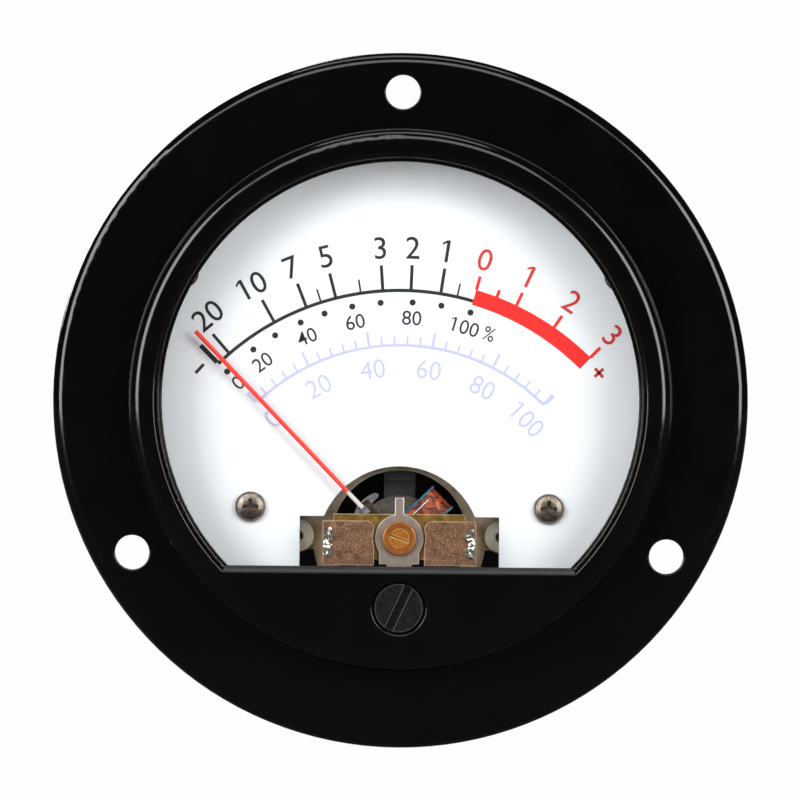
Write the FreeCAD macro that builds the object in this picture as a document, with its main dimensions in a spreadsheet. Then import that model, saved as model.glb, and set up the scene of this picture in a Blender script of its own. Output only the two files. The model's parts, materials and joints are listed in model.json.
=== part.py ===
import FreeCAD, Part
import Sketcher
import math
import os
import re

# Round panel VU meter with a pivoted moving coil.
# Millimetres. The dial faces -Y, +X is right as the dial is read, +Z is up.
# The origin is the centre of the three fixing holes, on the flange's rear face.

# Front moulding
flange_width = 7.75  # flange's width outside the case
flange_thick = 3.0  # thickness of the flange
flange_edge = 1.3  # round on the flange's front edge
fixing_inset = 4.5  # fixing holes' middles inside the flange's edge
fixing_hole = 2.0  # radius of a fixing hole
fixing_count = 3  # number of fixing holes
ring_step = 1.15  # bezel ring's edge inside the case's outline
ring_rise = 4.5  # height of the bezel ring above the flange
ring_shoulder = 1.3  # round on the ring's front edge
spigot_wall = 1.3  # wall of the spigot that enters the case
face_thick = 1.9  # thickness of the bezel's front face
lip_width = 1.5  # width of the lip round the window
mask_rise = 4.74  # window's straight edge above the adjuster
ledge_width = 0.45  # flat ledge round the window
ledge_depth = 1.0  # depth of that ledge below the face
bevel = 0.5  # bevel on the window's front edge
spigot_play = 0.2  # gap between the spigot and the case
spigot_length = 2.0  # length of the spigot
closure_inset = 0.1  # closure screws' middles inside the cavity's wall
closure_boss = 1.4  # radius of a closure boss in the front moulding
closure_count = 3  # number of closure screws
pilot_depth = 5.0  # depth of a pilot hole in a closure boss

# Window glass
glass_gap = 0.3  # gap between the glass and the cavity wall
glass_thick = 1.5  # thickness of the glass
glass_seat = 1.2  # glass overlap below the window's straight edge

# Dial
dial_gap = 0.3  # gap between the dial and the cavity wall
dial_thick = 0.5  # thickness of the dial plate
dial_overlap = 2.9  # dial's straight lower edge below the window's
dial_arch = 9.44  # radius of the arch in the dial
arch_shift = 1.14  # arch's centre below the movement axis
dial_slot_half = 11.5  # half width of the dial's cut-out
slot_rise = 2.5  # top of that cut-out above the movement axis
dial_screw_x = 17.2  # dial screws left and right of the centre
dial_screw_rise = 3.5  # dial screws above the movement axis
dial_post = 2.2  # radius of a dial post
pan_head = 1.75  # radius of a dial screw's head
pan_rise = 1.0  # height of a dial screw's head
dial_screw_length = 4.0  # length of a dial screw below its head

# Small screws and their clearances
screw_radius = 1.0  # radius of the small screws
thread_play = 0.03  # gap between a screw and its threaded hole
hole_play = 0.15  # gap between a screw and a plain hole
cross_slot = 0.45  # width of a cross recess's wings
run_play = 0.05  # running clearance of turning pieces

# Movement axis and magnet system
axis_rise = 7.94  # movement axis above the adjuster
coil_middle = 7.0  # middle of the magnet system behind the flange
core_radius = 4.9  # radius of the magnet core
core_length = 8.0  # length of the magnet core
yoke_bore = 7.8  # inner radius of the yoke ring
yoke_radius = 10.0  # outer radius of the yoke ring
yoke_length = 7.2  # length of the yoke ring
ear_reach = 14.2  # yoke ears' reach from the axis
ear_top = 3.2  # top of the ears above the axis
ear_bottom = 1.4  # bottom of the ears below the axis
ear_thick = 2.0  # thickness of the ears
washer_x = 11.68  # white washers left and right of the axis
washer_rise = 0.15  # white washers above the axis
washer_radius = 1.85  # radius of a white washer
washer_thick = 0.8  # thickness of a white washer
pin_radius = 0.5  # radius of the frame's locating pins
pin_shoulder = 1.3  # radius of those pins behind the ears
support_half = 1.8  # half width of a core support
support_length = 5.0  # length of a core support
support_step = 6.6  # radius at which a core support steps up

# Moving coil
coil_half = 1.7  # half width of the coil, flanges included
coil_flange = 0.2  # thickness of a bobbin flange and wall
core_play = 0.3  # gap between the bobbin and the core
winding_depth = 1.4  # depth of the winding
flange_lip = 0.15  # bobbin flange above the winding
hub_radius = 0.55  # radius of a pivot hub
hub_plate = 1.3  # half length of a hub's foot plate
hub_plate_thick = 0.3  # thickness of a hub's foot plate
pivot_radius = 0.2  # radius of a pivot needle
pivot_cone = 0.5  # length of a pivot's point
jewel_play = 0.05  # gap between a pivot and its jewel

# Bridges, jewel screws and regulator
bridge_front = 2.7  # front bridge's front face before the flange's rear face
bridge_thick = 0.6  # thickness of a bridge
bridge_reach = 8.6  # bridge's reach from the axis
bridge_top = 2.8  # top of the front bridge's strip above the axis
strip_step = 1.0  # end of that strip inside the bridge's edge
bridge_bottom = 2.4  # bottom of the front bridge below the axis
bridge_leg = 0.8  # thickness of a bridge's leg
boss_radius = 2.3  # radius of a bridge's boss
boss_rise = 0.4  # height of that boss behind the bridge
stop_circle = 1.9  # radius of the circle through the bridge's stop pins
stop_angle = 108.0  # stop pins' angle from upright
stop_pin = 0.3  # radius of a stop pin
stop_length = 1.0  # length of a stop pin behind the bridge
tag_reach = 5.5  # reach of the rear spring arm's solder tag
board_inner = 2.9  # inner edge of a board from the axis
board_overhang = 0.2  # boards' outer edges beyond the bridge
board_top = 2.0  # top of a board above the axis
board_bottom = 3.1  # bottom of a board below the axis
board_thick = 1.0  # thickness of a board
board_round = 0.9  # round on a board's inner corners
eyelet_inset = 0.65  # eyelets' middles inside the boards' outer edges
eyelet_radius = 0.55  # radius of an eyelet's rim
eyelet_rise = 0.2  # height of an eyelet's rim
eyelet_spread = 1.05  # eyelets above and below the boards' middle
regulator_radius = 2.84  # radius of the zero regulator's disc
regulator_thick = 0.35  # thickness of the zero regulator
finger_half = 0.52  # half width of the regulator's finger
finger_reach = 4.7  # reach of the regulator's finger
tail_half = 2.35  # half width of the regulator's tail
tail_drop = 3.0  # tail's lower edge below the axis
fork_half = 1.4  # half width of the regulator's fork
fork_play = 0.2  # gap between the fork and the adjuster's pin
lug_half = 0.6  # half width of the regulator's spring lug
lug_radius = 3.05  # spring lug's inner face from the axis
lug_thick = 0.3  # thickness of the spring lug
nut_radius = 1.94  # radius of a jewel screw's lock nut
nut_thick = 0.55  # thickness of that nut
jewel_screw_head = 1.15  # radius of a jewel screw's head
jewel_screw_rise = 0.15  # height of that head above the nut
driver_slot = 0.3  # width of the small driver slots
jewel_radius = 0.5  # radius of a jewel
jewel_length = 0.8  # length of a jewel

# Hairsprings
spring_inner = 0.9  # inner radius of a hairspring
spring_pitch = 0.42  # step of a hairspring from turn to turn
spring_strip = 0.08  # thickness of a hairspring's strip
spring_height = 0.5  # height of a hairspring's strip
spring_middle = 0.25  # front hairspring's middle behind the flange's rear face
collet_play = 0.05  # gap between a spring's collet and its inner turn

# Pointer and carrier, drawn with the pointer straight up
rest_angle = 43.9  # pointer at rest, left of upright
pointer_excess = 6.07  # pointer's length beyond the window's radius
pointer_root = 5.0  # pointer's root from the axis
pointer_offset = 0.65  # pointer's line beside the axis
pointer_radius = 0.26  # radius of the pointer rod
pointer_plane = 1.25  # pointer's middle before the flange's rear face
clip_length = 0.9  # length of the pointer's ferrule
clip_wall = 0.12  # wall of the pointer's ferrule
carrier_thick = 0.3  # thickness of the pointer carrier
carrier_half = 0.8  # half width of the carrier's main arm
carrier_reach = 6.0  # reach of the carrier's main arm
cross_reach = 3.6  # reach of the carrier's cross arms
cross_half = 0.3  # half width of the carrier's cross arms and tail
tail_reach = 2.5  # reach of the carrier's tail
weight_radius = 0.5  # radius of a balance weight
weight_length = 1.2  # length of a balance weight

# Zero adjuster
adjuster_inset = 4.96  # adjuster above the lowest closure screw
adjuster_head = 2.75  # radius of the adjuster's head
adjuster_rise = 1.05  # height of the adjuster's head
adjuster_sink = 0.1  # head's face below the bezel's face
recess_radius = 3.1  # radius of the adjuster's recess
adjuster_shank = 1.5  # radius of the adjuster's shank
adjuster_slot = 1.0  # width of the adjuster's slot
adjuster_slot_depth = 0.7  # depth of the adjuster's slot
slot_turn = 25.0  # slot's turn from upright, clockwise
mask_boss = 2.6  # radius of the boss behind the adjuster
mask_boss_rise = 0.7  # height of that boss
pin_offset = 1.2  # adjuster pin's offset from its axis
crank_pin = 0.4  # radius of the adjuster's pin
crank_length = 2.3  # length of the adjuster's pin
adjuster_tail = 0.7  # shank's length behind the mask's boss
clip_ring = 2.4  # outer radius of the adjuster's clip
clip_thick = 0.3  # thickness of the adjuster's clip
clip_groove = 0.2  # depth of the groove for that clip

# Movement frame
frame_thick = 2.4  # thickness of the movement frame
frame_half = 20.5  # half width of the movement frame
frame_margin = 2.7  # frame's top edge above its upper screw
frame_foot = 2.6  # frame's bottom edge below its lower screws
frame_gap = 0.8  # gap between the frame's corners and the case
frame_screw_x = 13.0  # lower frame screws left and right of the centre
frame_screw_shift = 6.1  # lower frame screws below the movement axis
frame_top_rise = 12.7  # upper frame screw above the movement axis
frame_pillar = 2.6  # radius of the case's pillars under the frame
frame_screw_length = 6.0  # length of a frame screw below its head
rear_foot = 1.4  # length of a rear bridge's foot
rear_bridge_half = 2.2  # half height of the rear bridge
rear_screw = 0.7  # radius of a rear bridge screw
rear_screw_head = 1.2  # radius of a rear bridge screw's head
arm_half = 0.9  # half width of the rear spring arm

# Rear case and terminals
case_radius = 32.25  # outer radius of the case
case_wall = 1.85  # wall of the case
case_depth = 30.0  # depth of the case behind the flange
case_floor = 2.4  # thickness of the case's floor
case_round = 1.2  # round on the case's rear edge
closure_pillar = 2.55  # radius of a closure pillar in the case
counterbore = 2.0  # radius of a closure pillar's counterbore
counterbore_stop = 6.0  # counterbore's bottom behind the flange
closure_length = 8.6  # length of a closure screw below its head
closure_head = 1.8  # radius of a closure screw's head
closure_head_rise = 1.5  # height of a closure screw's head
stud_x = 13.0  # terminals left and right of the centre
stud_lift = 0.5  # terminals above the movement frame's top edge
stud_radius = 2.0  # radius of a terminal stud
stud_play = 0.1  # gap between a stud and its hole
stud_length = 16.0  # stud's length behind the case
stud_head = 4.0  # radius of a stud's head across corners
stud_head_rise = 2.2  # height of a stud's head
stud_washer = 4.5  # radius of a stud washer
stud_washer_thick = 0.8  # thickness of a stud washer
nut_corner = 4.04  # radius of a terminal nut across corners
nut_rise = 3.2  # height of a terminal nut
lug_plate = 0.5  # thickness of a solder lug
lug_ring = 3.6  # radius of a solder lug's ring
lug_reach = 11.5  # reach of a solder lug below its stud
lug_width = 1.7  # half width of a solder lug's tongue
sign_reach = 2.2  # half length of the raised polarity signs
sign_half = 0.4  # half width of those signs
sign_rise = 0.4  # height of those signs
sign_shift = 8.2  # signs above their studs

# Inner wires
lead_radius = 0.5  # radius of an inner lead
lead_shift = 1.5  # leads' ends above or below a stud's middle
lead_run = 4.4  # rear lead's run out of its stud
lead_bend = 2.0  # bend radius of an inner lead
fine_wire = 0.12  # radius of the coil's fine wires

# The sizes above fill a sheet, one row each, and every piece takes them from there
sizes = [(name, number) for name, number in globals().items() if type(number) in (int, float)]
aliases = {name for name, number in sizes}
doc = FreeCAD.newDocument("VuMeter")
sheet = doc.addObject("Spreadsheet::Sheet", "dims")
for row, (name, number) in enumerate(sizes, 1):
    sheet.set("A%d" % row, name.replace("_", " "))
    sheet.set("B%d" % row, str(number))
    sheet.setAlias("B%d" % row, name)
doc.recompute()

# Places that follow from the sizes above
derived = {}
derived["case_inner"] = "case_radius - case_wall"
derived["floor_face"] = "case_depth - case_floor"
derived["flange_radius"] = "case_radius + flange_width"
derived["fixing_circle"] = "flange_radius - fixing_inset"
derived["ring_radius"] = "case_radius - ring_step"
derived["spigot_radius"] = "case_inner - spigot_play"
derived["cavity_radius"] = "spigot_radius - spigot_wall"
derived["window_radius"] = "cavity_radius - lip_width"
derived["closure_circle"] = "cavity_radius - closure_inset"
derived["adjuster_drop"] = "closure_circle - adjuster_inset"
derived["axis_drop"] = "adjuster_drop - axis_rise"
derived["window_drop"] = "adjuster_drop - mask_rise"
derived["dial_radius"] = "cavity_radius - dial_gap"
derived["dial_chord"] = "window_drop + dial_overlap"
derived["dial_arch_drop"] = "axis_drop + arch_shift"
derived["dial_slot_drop"] = "axis_drop - slot_rise"
derived["dial_screw_drop"] = "axis_drop - dial_screw_rise"
derived["frame_clip"] = "case_inner - frame_gap"
derived["frame_screw_drop"] = "axis_drop + frame_screw_shift"
derived["frame_bottom"] = "frame_screw_drop + frame_foot"
derived["frame_top_drop"] = "axis_drop - frame_top_rise"
derived["frame_top"] = "frame_top_drop - frame_margin"
derived["stud_rise"] = "stud_lift - frame_top"
derived["board_outer"] = "bridge_reach + board_overhang"
derived["eyelet_x"] = "board_outer - eyelet_inset"
derived["strip_reach"] = "bridge_reach - strip_step"
derived["pointer_reach"] = "window_radius + pointer_excess"
derived["bezel_front"] = "-(flange_thick + ring_rise)"
derived["lip_rear"] = "bezel_front + face_thick"
derived["glass_rear"] = "lip_rear + glass_thick"
derived["glass_radius"] = "cavity_radius - glass_gap"
derived["yoke_front"] = "coil_middle - yoke_length / 2"
derived["yoke_rear"] = "coil_middle + yoke_length / 2"
derived["frame_rear"] = "yoke_rear + frame_thick"
derived["core_front"] = "coil_middle - core_length / 2"
derived["core_rear"] = "coil_middle + core_length / 2"
derived["bobbin_reach"] = "core_radius + core_play"
derived["wall_reach"] = "bobbin_reach + coil_flange"
derived["winding_reach"] = "wall_reach + winding_depth"
derived["rim_reach"] = "winding_reach + flange_lip"
derived["bobbin_end"] = "core_length / 2 + core_play"
derived["wall_end"] = "bobbin_end + coil_flange"
derived["winding_end"] = "wall_end + winding_depth"
derived["rim_end"] = "winding_end + flange_lip"
derived["bridge_face"] = "-bridge_front"
derived["bridge_back"] = "bridge_thick - bridge_front"
derived["boss_back"] = "bridge_back + boss_rise"
derived["half_span"] = "coil_middle + bridge_front"
derived["regulator_back"] = "bridge_face - run_play"
derived["regulator_face"] = "regulator_back - regulator_thick"
derived["nut_back"] = "regulator_face - run_play"
derived["nut_face"] = "nut_back - nut_thick"
derived["jewel_face"] = "nut_face - jewel_screw_rise"
derived["screw_end"] = "boss_back + 0.2"
derived["carrier_front"] = "pointer_radius - pointer_plane"
derived["carrier_back"] = "carrier_front + carrier_thick"
derived["adjuster_face"] = "bezel_front + adjuster_sink"
derived["head_back"] = "adjuster_face + adjuster_rise"
derived["recess_floor"] = "head_back + run_play"
derived["boss_end"] = "lip_rear + mask_boss_rise"
derived["shank_end"] = "boss_end + adjuster_tail"
derived["pin_end"] = "shank_end + crank_length"
derived["pin_drop"] = "adjuster_drop - pin_offset - axis_drop"

probe = doc.addObject("App::FeaturePython", "probe")
probe.addProperty("App::PropertyFloat", "Value")


def ex(text):
    # Write a formula of named sizes as the sheet's own cells
    def cell(match):
        word = match.group(0)
        if word in aliases:
            return "dims." + word
        if word in derived:
            return "(" + ex(derived[word]) + ")"
        return word
    return re.sub(r"[a-z][a-z_]*", cell, str(text))


def value(text):
    probe.setExpression("Value", ex(text))
    probe.recompute()
    return probe.Value


def bind(item, name, text):
    item.setExpression(name, ex(text))


along_y = FreeCAD.Rotation(FreeCAD.Vector(1, 0, 0), -90)
to_front = FreeCAD.Rotation(FreeCAD.Vector(1, 0, 0), 90)
about_y = FreeCAD.Vector(0, 1, 0)
on_axis = "-axis_drop"


def place(item, x="0", y="0", z="0", turn=None):
    if turn is not None:
        item.Placement = FreeCAD.Placement(FreeCAD.Vector(), FreeCAD.Rotation(about_y, 1))
        bind(item, "Placement.Rotation.Angle", turn)
    bind(item, "Placement.Base.x", x)
    bind(item, "Placement.Base.y", y)
    bind(item, "Placement.Base.z", z)
    return item


def rod(name, radius, start, end, x="0", z="0"):
    # Round solid along Y
    item = doc.addObject("Part::Cylinder", name)
    item.Placement = FreeCAD.Placement(FreeCAD.Vector(), along_y)
    bind(item, "Radius", radius)
    bind(item, "Height", "(%s) - (%s)" % (end, start))
    return place(item, x, start, z)


def cone(name, start_radius, end_radius, start, end, x="0", z="0"):
    item = doc.addObject("Part::Cone", name)
    item.Placement = FreeCAD.Placement(FreeCAD.Vector(), along_y)
    bind(item, "Radius1", start_radius)
    bind(item, "Radius2", end_radius)
    bind(item, "Height", "(%s) - (%s)" % (end, start))
    return place(item, x, start, z)


def block(name, x_range, y_range, z_range):
    item = doc.addObject("Part::Box", name)
    bind(item, "Length", "(%s) - (%s)" % (x_range[1], x_range[0]))
    bind(item, "Width", "(%s) - (%s)" % (y_range[1], y_range[0]))
    bind(item, "Height", "(%s) - (%s)" % (z_range[1], z_range[0]))
    return place(item, x_range[0], y_range[0], z_range[0])


def prism(name, corner, start, end, x="0", z="0", sides=6):
    # Polygon bar along Y, sized across its corners
    item = doc.addObject("Part::Prism", name)
    item.Polygon = sides
    item.Placement = FreeCAD.Placement(FreeCAD.Vector(), along_y)
    bind(item, "Circumradius", corner)
    bind(item, "Height", "(%s) - (%s)" % (end, start))
    return place(item, x, start, z)


def fuse(name, *items):
    item = doc.addObject("Part::MultiFuse", name)
    item.Shapes = list(items)
    item.Refine = True
    return item


def cut(name, base, *tools):
    item = doc.addObject("Part::Cut", name)
    item.Base = base
    item.Tool = tools[0] if len(tools) == 1 else fuse(name + "_tools", *tools)
    item.Refine = True
    return item


def overlap(name, first, second):
    item = doc.addObject("Part::Common", name)
    item.Base = first
    item.Tool = second
    return item


def group(name, items):
    item = doc.addObject("Part::Compound", name)
    item.Links = items
    return item


def fillet(name, base, radius, keep):
    doc.recompute()
    item = doc.addObject("Part::Fillet", name)
    item.Base = base
    edges = [n + 1 for n, edge in enumerate(base.Shape.Edges) if keep(edge)]
    item.Edges = [(n, radius, radius) for n in edges]
    return item


def at_y(edge, y):
    box = edge.BoundBox
    return abs(box.YMin - y) < 1e-4 and abs(box.YMax - y) < 1e-4


def at_radius(edge, radius):
    return isinstance(edge.Curve, Part.Circle) and abs(edge.Curve.Radius - radius) < 1e-4


# Sketch helpers for the bodies
def origin_item(body, role):
    return [item for item in body.Origin.OriginFeatures if item.Role == role][0]


def new_sketch(body, role, name):
    sketch = body.newObject("Sketcher::SketchObject", name)
    sketch.AttachmentSupport = [(origin_item(body, role), "")]
    sketch.MapMode = "FlatFace"
    return sketch


def measure(sketch, kind, first, second, text):
    number = value(text)
    if second is None:
        index = sketch.addConstraint(Sketcher.Constraint(kind, first, number))
    else:
        index = sketch.addConstraint(Sketcher.Constraint(kind, *first, *second, number))
    sketch.setExpression("Constraints[%d]" % index, ex(text))


def add_polygon(sketch, points):
    spots = [FreeCAD.Vector(value(x), value(y), 0) for x, y in points]
    base = sketch.GeometryCount
    count = len(points)
    for n in range(count):
        sketch.addGeometry(Part.LineSegment(spots[n], spots[(n + 1) % count]), False)
    for n in range(count):
        following = base + (n + 1) % count
        sketch.addConstraint(Sketcher.Constraint("Coincident", base + n, 2, following, 1))
    for n, (x, y) in enumerate(points):
        measure(sketch, "DistanceX", (-1, 1), (base + n, 1), x)
        measure(sketch, "DistanceY", (-1, 1), (base + n, 1), y)


def add_circle(sketch, x, y, radius):
    circle = Part.Circle(FreeCAD.Vector(value(x), value(y), 0), FreeCAD.Vector(0, 0, 1), value(radius))
    index = sketch.addGeometry(circle, False)
    measure(sketch, "DistanceX", (-1, 1), (index, 3), x)
    measure(sketch, "DistanceY", (-1, 1), (index, 3), y)
    measure(sketch, "Radius", index, None, radius)


def add_d_shape(sketch, radius, drop):
    # Circle about the origin, cut off straight below
    reach = value(radius)
    low = value(drop)
    half = math.sqrt(reach * reach - low * low)
    start = math.atan2(-low, half)
    end = math.atan2(-low, -half) + 2 * math.pi
    circle = Part.Circle(FreeCAD.Vector(), FreeCAD.Vector(0, 0, 1), reach)
    arc = sketch.addGeometry(Part.ArcOfCircle(circle, start, end), False)
    line = Part.LineSegment(FreeCAD.Vector(-half, -low, 0), FreeCAD.Vector(half, -low, 0))
    chord = sketch.addGeometry(line, False)
    sketch.addConstraint(Sketcher.Constraint("Coincident", arc, 3, -1, 1))
    sketch.addConstraint(Sketcher.Constraint("Coincident", arc, 2, chord, 1))
    sketch.addConstraint(Sketcher.Constraint("Coincident", chord, 2, arc, 1))
    sketch.addConstraint(Sketcher.Constraint("Horizontal", chord))
    measure(sketch, "Radius", arc, None, radius)
    measure(sketch, "DistanceY", (-1, 1), (chord, 1), "-(%s)" % drop)


def pad(body, name, sketch, start, end):
    # Solid from one depth to another, from a sketch on the XZ plane
    feature = body.newObject("PartDesign::Pad", name)
    feature.Profile = sketch
    feature.Reversed = True
    bind(sketch, "AttachmentOffset.Base.z", "-(%s)" % start)
    bind(feature, "Length", "(%s) - (%s)" % (end, start))
    return feature


def pocket(body, name, sketch, start, end):
    # Hole from one depth to another, from a sketch on the XZ plane
    feature = body.newObject("PartDesign::Pocket", name)
    feature.Profile = sketch
    feature.Reversed = False
    bind(sketch, "AttachmentOffset.Base.z", "-(%s)" % start)
    bind(feature, "Length", "(%s) - (%s)" % (end, start))
    return feature


def revolve(body, name, points):
    # Turned solid about Y, from a profile of radius and depth
    sketch = new_sketch(body, "XY_Plane", name + "_profile")
    add_polygon(sketch, points)
    feature = body.newObject("PartDesign::Revolution", name)
    feature.Profile = sketch
    feature.ReferenceAxis = (sketch, ["V_Axis"])
    feature.Angle = 360
    return feature


def around(body, name, feature, count):
    # Copies of a feature round the Y axis
    pattern = body.newObject("PartDesign::PolarPattern", name)
    pattern.Originals = [feature]
    pattern.Axis = (origin_item(body, "Y_Axis"), [""])
    pattern.Angle = 360
    bind(pattern, "Occurrences", count)
    body.Tip = pattern
    return pattern


def round_edges(body, name, radius, depth, reach):
    # Round the circular edge that lies at a given radius and depth
    base = body.Tip
    edges = []
    for n, edge in enumerate(base.Shape.Edges):
        if at_y(edge, value(depth)) and at_radius(edge, value(radius)):
            edges.append("Edge%d" % (n + 1))
    rounding = body.newObject("PartDesign::Fillet", name)
    rounding.Base = (base, edges)
    bind(rounding, "Radius", reach)
    doc.recompute()


# Front housing: flange, bezel ring and mask in one moulding
def make_front_housing():
    body = doc.addObject("PartDesign::Body", "front_housing")
    revolve(body, "housing_turned", [
        ("0", "bezel_front"), ("ring_radius", "bezel_front"),
        ("ring_radius", "-flange_thick"), ("flange_radius", "-flange_thick"),
        ("flange_radius", "0"), ("spigot_radius", "0"),
        ("spigot_radius", "spigot_length"), ("cavity_radius", "spigot_length"),
        ("cavity_radius", "lip_rear"), ("0", "lip_rear")])
    boss = new_sketch(body, "XZ_Plane", "boss_sketch")
    add_circle(boss, "0", "-closure_circle", "closure_boss")
    boss_pad = pad(body, "closure_boss_pad", boss, "glass_rear + 0.1", "spigot_length")
    around(body, "closure_bosses", boss_pad, "closure_count")
    mask = new_sketch(body, "XZ_Plane", "mask_boss_sketch")
    add_circle(mask, "0", "-adjuster_drop", "mask_boss")
    pad(body, "mask_boss_pad", mask, "lip_rear - 0.2", "boss_end")
    pilot = new_sketch(body, "XZ_Plane", "pilot_sketch")
    add_circle(pilot, "0", "-closure_circle", "screw_radius + thread_play")
    pilot_hole = pocket(body, "pilot_hole", pilot, "spigot_length - pilot_depth", "spigot_length")
    around(body, "pilot_holes", pilot_hole, "closure_count")
    fixing = new_sketch(body, "XZ_Plane", "fixing_sketch")
    add_circle(fixing, "0", "fixing_circle", "fixing_hole")
    fixing_pocket = pocket(body, "fixing_pocket", fixing, "-flange_thick", "0")
    around(body, "fixing_holes", fixing_pocket, "fixing_count")
    ledge = new_sketch(body, "XZ_Plane", "ledge_sketch")
    add_d_shape(ledge, "window_radius + ledge_width", "window_drop + ledge_width / 2")
    pocket(body, "window_ledge", ledge, "bezel_front", "bezel_front + ledge_depth")
    window = new_sketch(body, "XZ_Plane", "window_sketch")
    add_d_shape(window, "window_radius", "window_drop")
    pocket(body, "window_opening", window, "bezel_front", "lip_rear")
    recess = new_sketch(body, "XZ_Plane", "recess_sketch")
    add_circle(recess, "0", "-adjuster_drop", "recess_radius")
    pocket(body, "adjuster_recess", recess, "bezel_front", "recess_floor")
    shank = new_sketch(body, "XZ_Plane", "shank_sketch")
    add_circle(shank, "0", "-adjuster_drop", "adjuster_shank + run_play")
    pocket(body, "adjuster_hole", shank, "bezel_front", "boss_end")
    doc.recompute()
    base = body.Tip
    front = value("bezel_front")
    window_edges = []
    for n, edge in enumerate(base.Shape.Edges):
        rim = at_radius(edge, value("window_radius + ledge_width"))
        chord = isinstance(edge.Curve, Part.Line) and edge.Length > value("window_radius")
        if at_y(edge, front) and (rim or chord):
            window_edges.append("Edge%d" % (n + 1))
    chamfer = body.newObject("PartDesign::Chamfer", "window_bevel")
    chamfer.Base = (base, window_edges)
    bind(chamfer, "Size", "bevel")
    doc.recompute()
    rounds = [("ring_round", "ring_radius", "bezel_front", "ring_shoulder"),
              ("flange_round", "flange_radius", "-flange_thick", "flange_edge")]
    for name, radius, depth, reach in rounds:
        round_edges(body, name, radius, depth, reach)
    return body


def make_window_glass():
    body = doc.addObject("PartDesign::Body", "window_glass")
    pane = new_sketch(body, "XZ_Plane", "pane_sketch")
    add_d_shape(pane, "glass_radius", "window_drop + glass_seat")
    pad(body, "pane", pane, "lip_rear", "glass_rear")
    return body


def make_dial_plate():
    body = doc.addObject("PartDesign::Body", "dial_plate")
    outline = new_sketch(body, "XZ_Plane", "dial_sketch")
    add_d_shape(outline, "dial_radius", "dial_chord")
    pad(body, "dial_sheet", outline, "0", "dial_thick")
    arch = new_sketch(body, "XZ_Plane", "arch_sketch")
    add_circle(arch, "0", "-dial_arch_drop", "dial_arch")
    pocket(body, "dial_arch_hole", arch, "0", "dial_thick")
    slot = new_sketch(body, "XZ_Plane", "slot_sketch")
    add_polygon(slot, [
        ("-dial_slot_half", "-dial_slot_drop"), ("dial_slot_half", "-dial_slot_drop"),
        ("dial_slot_half", "-dial_chord - 1"), ("-dial_slot_half", "-dial_chord - 1")])
    pocket(body, "dial_slot", slot, "0", "dial_thick")
    holes = new_sketch(body, "XZ_Plane", "dial_holes_sketch")
    for side in ("-", ""):
        add_circle(holes, side + "dial_screw_x", "-dial_screw_drop", "screw_radius + hole_play")
    pocket(body, "dial_holes", holes, "0", "dial_thick")
    notches = new_sketch(body, "XZ_Plane", "notch_sketch")
    for side in ("-", ""):
        add_circle(notches, side + "closure_circle * cos(30)", "closure_circle * sin(30)",
                   "closure_boss + hole_play")
    pocket(body, "boss_notches", notches, "0", "dial_thick")
    return body


def make_rear_case():
    body = doc.addObject("PartDesign::Body", "rear_case")
    revolve(body, "case_turned", [
        ("case_inner", "0"), ("case_radius", "0"),
        ("case_radius", "case_depth"), ("0", "case_depth"),
        ("0", "floor_face"), ("case_inner", "floor_face")])
    pillar = new_sketch(body, "XZ_Plane", "pillar_sketch")
    add_circle(pillar, "0", "-closure_circle", "closure_pillar")
    pillar_pad = pad(body, "closure_pillar_pad", pillar, "spigot_length", "case_depth - case_round")
    around(body, "closure_pillars", pillar_pad, "closure_count")
    doc.recompute()
    round_edges(body, "case_edge_round", "case_radius", "case_depth", "case_round")
    frame_pillars = new_sketch(body, "XZ_Plane", "frame_pillar_sketch")
    for x, z in frame_spots:
        add_circle(frame_pillars, x, z, "frame_pillar")
    pad(body, "frame_pillar_pads", frame_pillars, "frame_rear", "floor_face + 0.5")
    bore = new_sketch(body, "XZ_Plane", "counterbore_sketch")
    add_circle(bore, "0", "-closure_circle", "counterbore")
    bore_cut = pocket(body, "counterbore_cut", bore, "counterbore_stop", "case_depth")
    around(body, "counterbores", bore_cut, "closure_count")
    through = new_sketch(body, "XZ_Plane", "through_sketch")
    add_circle(through, "0", "-closure_circle", "screw_radius + hole_play")
    through_cut = pocket(body, "through_cut", through, "0", "counterbore_stop")
    around(body, "through_holes", through_cut, "closure_count")
    tapped = new_sketch(body, "XZ_Plane", "tapped_sketch")
    for x, z in frame_spots:
        add_circle(tapped, x, z, "screw_radius + thread_play")
    pocket(body, "tapped_holes", tapped, "frame_rear", "frame_rear + frame_screw_length")
    studs = new_sketch(body, "XZ_Plane", "stud_hole_sketch")
    for side in ("-", ""):
        add_circle(studs, side + "stud_x", "stud_rise", "stud_radius + stud_play")
    pocket(body, "stud_holes", studs, "floor_face", "case_depth")
    signs = [("left", "-stud_x", False), ("right", "stud_x", True)]
    for name, x, upright in signs:
        bar = new_sketch(body, "XZ_Plane", "sign_" + name)
        add_bar(bar, x, "stud_rise + sign_shift", "sign_reach", "sign_half")
        pad(body, "sign_bar_" + name, bar, "case_depth - 0.2", "case_depth + sign_rise")
        if upright:
            stem = new_sketch(body, "XZ_Plane", "sign_stem_" + name)
            add_bar(stem, x, "stud_rise + sign_shift", "sign_half", "sign_reach")
            pad(body, "sign_stem_pad", stem, "case_depth - 0.2", "case_depth + sign_rise")
    return body


def add_bar(sketch, x, z, half_x, half_z):
    left = "(%s) - (%s)" % (x, half_x)
    right = "(%s) + (%s)" % (x, half_x)
    low = "(%s) - (%s)" % (z, half_z)
    high = "(%s) + (%s)" % (z, half_z)
    add_polygon(sketch, [(left, low), (right, low), (right, high), (left, high)])


frame_spots = [("-frame_screw_x", "-frame_screw_drop"),
               ("frame_screw_x", "-frame_screw_drop"),
               ("0", "-frame_top_drop")]


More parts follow.
